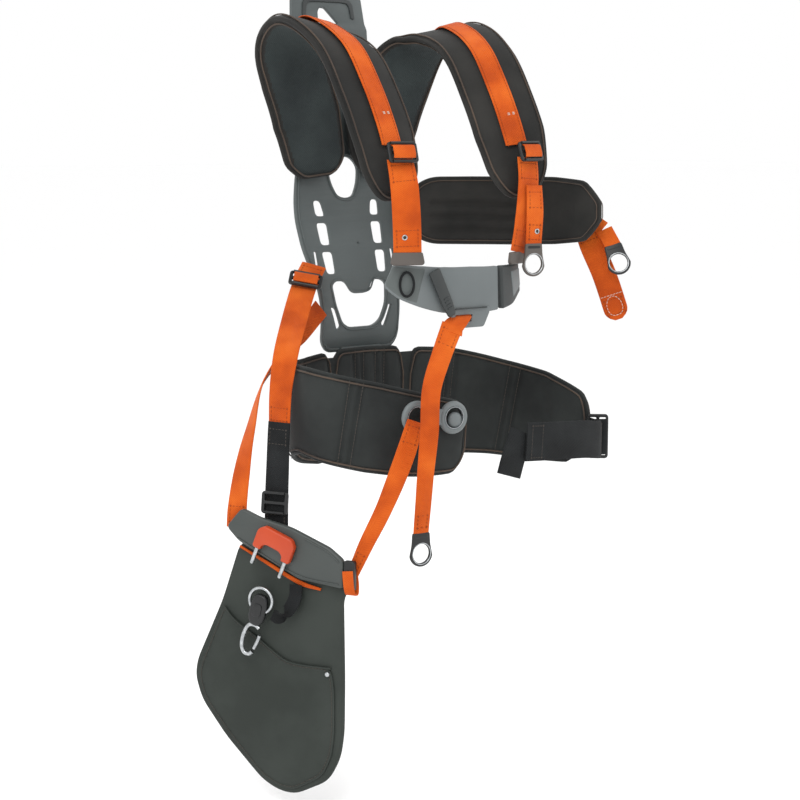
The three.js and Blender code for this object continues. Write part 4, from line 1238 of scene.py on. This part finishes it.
leverPlace = frameAt((-54, -232.8, -44), (1, 0.1, 0.42), (-0.42, 0.1, 1))
lever = cutPlate([softOutline([(-9, 3), (8, 3), (7.5, -40), (5.5, -54), (-5.5, -54), (-8, -40)], 3)], 3, 0.9,
                 front=-3.3)
grips = [(tube([Vector((x, -3.4, -44 + 4 * k)) * mm for x in (-3.6, 3.6)], 0.8 * mm, 8), leverPlace)
         for k in range(4)]
lever = finishMesh("chest_lever", joined((lever, leverPlace), *grips), darkPlastic, bodyOf("release_lever"), 40)
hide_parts("release_lever")
print("chest plate made")

# belt buckle

bucklePlace = frameAt((-66, -249, -206), (0.995, -0.1, 0), (0, 0, 1))
buckleEyes = ((-25, 2), (25, -2))
buckleParts = []
for x, z in buckleEyes:
    eye = turned(ovalRing(15.2, 3.8, 3.5, 14), 44)
    eye.transform(Matrix.Translation((x * mm, 0, z * mm)))
    buckleParts.append((eye, bucklePlace))
bridge = cutPlate([roundBox(28, 18, 4)], 4.6, 1.3, front=-2.3)
buckleParts.append((bridge, bucklePlace))
knob = turned([(0, -3.4), (4, -3.1), (7.4, -2.0), (9, 0), (9, 2.5), (0, 2.5)], 32)
knob.transform(Matrix.Translation((28 * mm, 0, -5 * mm)))
buckleParts.append((knob, bucklePlace))
buckle = finishMesh("cast_buckle", joined(*buckleParts), chestPlastic, bodyOf("belt_buckle"), 50)
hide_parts("belt_buckle")
rimParts = []
for x, z in buckleEyes:
    rim = turned(ovalRing(12.3, 0.9, 3.7, 10), 40)
    rim.transform(Matrix.Translation((x * mm, 0, z * mm)))
    rimParts.append((rim, bucklePlace))
finishMesh("buckle_eye_rims", joined(*rimParts), platedSteel, bodyOf("belt_buckle"), 60)

# hip guard

guardPlace = frameAt((-205, -120, -400), (math.cos(math.radians(-62)), math.sin(math.radians(-62)), 0),
                     (0, 0, 1))
guardEdge = [(-37, 44), (-62, -28), (-97, -104), (-100, -123), (-92, -150), (-60, -191), (-12, -238),
             (10, -248),
             (30, -249), (71, -228), (86, -200), (91, -170), (92, -106), (91, -12), (98, 2), (41, 22)]
pocketEdge = [(-60, -34), (-64, -42), (-93, -106), (-96, -123), (-88, -149), (-57, -188), (-11, -234),
              (11, -244),
              (29, -245), (66, -224), (78, -199), (82, -170), (82, -119), (78, -94), (40, -94), (20, -91),
              (-12, -71), (-49, -47)]
guardBody = bodyOf("hip_guard")


def inPlace(place, points):
    return [place @ (Vector(p) * mm) for p in points]


def lineGap(spot, a, b):
    # distance from a spot to the line from a to b
    share = min(max((spot - a).dot(b - a) / max((b - a).length_squared, 1e-9), 0), 1)
    return (spot - (a + (b - a) * share)).length


def pocketSwell(gap, spot):
    # full in the middle with a faint sag, and pinched along the seam 5 mm in
    full = 2.2 * (1 - math.exp(-gap / 14)) - 0.9 * math.exp(-((gap - 5) / 1.6) ** 2)
    return full + 0.5 * math.sin(spot.x / 21 + spot.y / 37) * (1 - math.exp(-gap / 25))


def meshedPlate(outline, depth, edge, front, step, dome=None):
    # plate with a fine even face; dome gives how far, in mm, its front is pushed out at a gap from the rim
    bm = cutPlate([outline], depth, edge, front=front)
    low = [min(p[k] for p in outline) for k in (0, 1)]
    high = [max(p[k] for p in outline) for k in (0, 1)]
    for k, normal in ((0, (1, 0, 0)), (1, (0, 0, 1))):
        place = low[k] + step
        while place < high[k]:
            bmesh.ops.bisect_plane(bm, geom=bm.verts[:] + bm.edges[:] + bm.faces[:],
                                   plane_co=tuple(c * place * mm for c in normal), plane_no=normal, dist=1e-6)
            place += step
    rim = [Vector(p) for p in outline]
    for vertex in bm.verts:
        if dome and vertex.co.y * 1000 < front + depth / 2:
            spot = Vector((vertex.co.x, vertex.co.z)) * 1000
            vertex.co.y -= dome(min(lineGap(spot, a, b) for a, b in zip(rim, rim[1:] + rim[:1])), spot) * mm
    return bm


sheet = meshedPlate(softOutline(guardEdge, 12), 5, 1.6, 0, 9)
guard = finishMesh("guard_sheet", joined((sheet, guardPlace)), guardCover, guardBody, 40)
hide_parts("hip_guard")
pocket = meshedPlate(softOutline(pocketEdge, 10), 1.6, 0.5, -2.0, 7, pocketSwell)
pocket = finishMesh("guard_pocket", joined((pocket, guardPlace)), guardCover, guardBody, 40)
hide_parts("pocket_panel")
rimLine = evenly(inPlace(guardPlace, [(x, 2.5, z) for x, z in softOutline(guardEdge, 12)]), 0.005)
finishMesh("guard_edging", tube(rimLine, 2.2 * mm, 8, closed=True), guardCover, guardBody, 60)
hem = evenly(inPlace(guardPlace, [(x, -2.6, z) for x, z in softOutline(grown(pocketEdge, -3), 10)]), 0.004)
seam(guardBody, "grey", hem + [hem[0]])
flap = [(78, -94), (40, -94), (20, -91), (-12, -71), (-49, -47), (-60, -34)]
flapLine = [pathPoint(inPlace(guardPlace, [(x, -2.4, z) for x, z in flap]), k / 40) for k in range(41)]
finishMesh("pocket_hem", tube(flapLine, 1.1 * mm, 8), guardCover, guardBody, 60)
stud = turned([(0, -1.6), (2.0, -1.4), (3.0, -0.4), (3.0, 1.0), (0, 1.0)], 20)
stud.transform(guardPlace @ Matrix.Translation(Vector((74, -3.4, -101)) * mm))
finishMesh("pocket_rivet", joined((stud, None)), platedSteel, guardBody, 50)

barEdge = [(-53, 62), (-33, 85), (-10, 76), (31, 67), (79, 48), (87, 42), (97, 35), (97, 2), (41, 8), (-37, 46)]
barBody = bodyOf("guard_bar")
bar = cutPlate([softOutline(barEdge, 6)], 8, 2.4, front=-8.4)
bar = finishMesh("guard_bar_shell", joined((bar, guardPlace)), barPlastic, barBody, 40)
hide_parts("guard_bar")
barRidge = [(-38, -8.6, 50), (41, -8.6, 13), (92, -8.6, 7)]
ridgeTop = [(49, -8.6, 56.5), (62, -8.6, 51), (78, -8.6, 44), (92, -8.6, 33)]
barRidges = [inPlace(guardPlace, line) for line in (barRidge, ridgeTop)]
barRidges = [(tube([pathPoint(line, k / 30) for k in range(31)], 0.9 * mm, 8), None) for line in barRidges]
finishMesh("guard_bar_ridges", joined(*barRidges), barPlastic, barBody, 60)

barPlace = subFrame(guardPlace, (14, -8.8, 49), 22)
handleEdge = [(-25, -15), (-25, 7), (-18, 14), (18, 14), (25, 7), (25, -15), (14, -15), (14, -10), (9, -6),
              (-9, -6),
              (-14, -10), (-14, -15)]
handleBody = bodyOf("release_handle")
handle = cutPlate([softOutline(handleEdge, 3.5)], 9, 2.2, front=-9)
handle = finishMesh("release_grip", joined((handle, barPlace)), redPlastic, handleBody, 40)
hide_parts("release_handle")
for end, x in (("rear", -19), ("front", 19)):
    pin = turned([(0, -10), (1.9, -10), (2.4, -9.2), (2.4, 10), (0, 10)], 20)
    pin.transform(Matrix.Rotation(math.radians(90), 4, "X"))
    pin.transform(Matrix.Translation(Vector((x, -4.5, -25.4)) * mm))
    pin = finishMesh(f"release_pin_{end}_steel", joined((pin, barPlace)), platedSteel, handleBody, 50)
    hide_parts(f"release_pin_{end}")

clipLoop = [(103.9, 3, 19), (105, 3.4, 6), (106, 0, -3.5), (106, -7, -3), (105.5, -10.4, 5), (104.5, -10.6, 16),
            (103.5, -9.8, 24)]
clipLoop = samplePath(carried(guardPlace, clipLoop, (0.469, -0.883, 0), 13), 60)
clipLoop = finishMesh("guard_strap_loop", strapMesh(clipLoop, 1.6 * mm, crown=0.2, ripple=0), orangeWebbing,
                      bodyOf("front_guard_strap"))

guardStraps = {
    "guard_web": ([(-38, -2, 39, 0.33, 0, 1, 2.5), (-6, -2, 24, 0.33, 0, 1, 4), (41, -2, 2.6, 0.33, 0, 1, 5.5),
                   (66, -2, -2.4, 0.2, 0, 1, 3)],
                  orangeWebbing, "webbing_orange"),
    "hook_loop": ([(36, -5.6, 1, 1, 0, 0.1, 16), (36, -8.5, -14, 1, 0, 0.1, 16),
                   (27, -12, -31, 0.9, 0, 0.5, 17),
                   (17, -15, -37, 0.4, 0, 0.9, 16), (11, -16, -34, 0, 0, 1, 13)], blackWebbing,
                  "webbing_black"),
}
turnOnly = guardPlace.to_3x3()
for node, (stations, material, slotName) in guardStraps.items():
    placed = [tuple(guardPlace @ (Vector(s[:3]) * mm) / mm) + tuple(turnOnly @ Vector(s[3:6])) + (s[6],)
              for s in stations]
    strap = strapMesh(samplePath(placed, 40), 1.8 * mm, crown=0.2, ripple=0.05)
    strap = finishMesh(node + "_webbing", strap, material, bodyOf(node))
    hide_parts(node)

# spring hook
hookPlace = subFrame(guardPlace, (-4, -16, -19), 16)
swivelRing = turned(ovalRing(14.6, 1.9, 1.9, 12), 40)
barrelEdge = [(-7, 7), (7, 7), (10.5, -4), (10.5, -22), (6, -31), (-6, -31), (-10.5, -22), (-10.5, -4)]
barrel = cutPlate([softOutline(barrelEdge, 5)], 8, 2.8, front=-4)
swivel = finishMesh("hook_swivel_steel", joined((swivelRing, hookPlace)), platedSteel, bodyOf("hook_swivel"),
                    50)
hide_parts("hook_swivel")
collar = cutPlate([roundBox(11, 16, 4, 0, -12)], 2, 0.8, front=-5.4)
barrel = finishMesh("hook_barrel", joined((barrel, hookPlace), (collar, hookPlace)), blackNylonAndShade,
                    bodyOf("hook_swivel"), 50)
bow = [(7, -33), (1, -31), (-6, -33), (-9.6, -41), (-10.4, -53), (-8.6, -62), (-3.6, -67.4), (2.6, -66.6),
       (5.4, -62.6)]
bowLine = [pathPoint([Vector((x, 0, z)) * mm for x, z in bow], k / 70) for k in range(71)]
hook = finishMesh("hook_bow", joined((tube(bowLine, 2.5 * mm, 14), hookPlace)), platedSteel,
                  bodyOf("hook_body"), 50)
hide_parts("hook_body")
gateLine = inPlace(hookPlace, [(9.4, 0, -40.8), (9.0, 0, -46), (7.6, 0, -53), (6.4, 0, -58.6)])
gate = tube([pathPoint(gateLine, k / 16) for k in range(17)], 2.1 * mm, 12)
gate = finishMesh("hook_gate_steel", gate, platedSteel, bodyOf("hook_gate"), 50)
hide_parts("hook_gate")
print("guard and hook made")

sewSeams()

# camera, floor and lights
view = {"lens": 85, "sensor": 36, "place": (-1.3985, -1.8908, 0.1111), "toCamera": (-0.6097, -0.7804, 0.1392)}
toCamera = Vector(view["toCamera"]).normalized()
camera = bpy.data.objects.new("camera", bpy.data.cameras.new("camera"))
camera.data.lens = view["lens"]
camera.data.sensor_width = view["sensor"]
camera.data.clip_end = 100
camera.location = view["place"]
camera.rotation_euler = toCamera.to_track_quat("Z", "Y").to_euler()
bpy.context.scene.collection.objects.link(camera)
bpy.context.scene.camera = camera

floorTone = newMaterial("paleFloorPaint", 0.9)[0]
floorTone.node_tree.nodes["Principled BSDF"].inputs["Base Color"].default_value = linear("#ffffff")
bm = bmesh.new()
bmesh.ops.create_grid(bm, x_segments=1, y_segments=1, size=40)
floorMesh = bpy.data.meshes.new("floor")
bmesh.ops.translate(bm, verts=bm.verts[:], vec=(0, 0, cadBox[0][2] - 0.02))
bm.to_mesh(floorMesh)
bm.free()
floorMesh.materials.append(floorTone)
floor = bpy.data.objects.new("floor", floorMesh)
bpy.context.scene.collection.objects.link(floor)

world = bpy.data.worlds.new("studio")
world.use_nodes = True
world.node_tree.nodes["Background"].inputs[0].default_value = (1, 1, 1, 1)
world.node_tree.nodes["Background"].inputs[1].default_value = 1.0
bpy.context.scene.world = world
studio = [((-1.5, -1.3, 1.6), 26, 1.3), ((1.8, -1.2, 0.9), 8, 1.6), ((0.3, 1.6, 1.3), 12, 1.4)]
for index, (spot, power, size) in enumerate(studio):
    light = bpy.data.lights.new(f"softbox_{index}", "AREA")
    light.energy = power
    light.size = size
    lamp = bpy.data.objects.new(f"softbox_{index}", light)
    lamp.location = spot
    lamp.rotation_euler = (Vector(spot) - Vector((0, -0.1, -0.15))).to_track_quat("Z", "Y").to_euler()
    bpy.context.scene.collection.objects.link(lamp)
bpy.context.scene.view_settings.view_transform = "Standard"

print("scene ready")
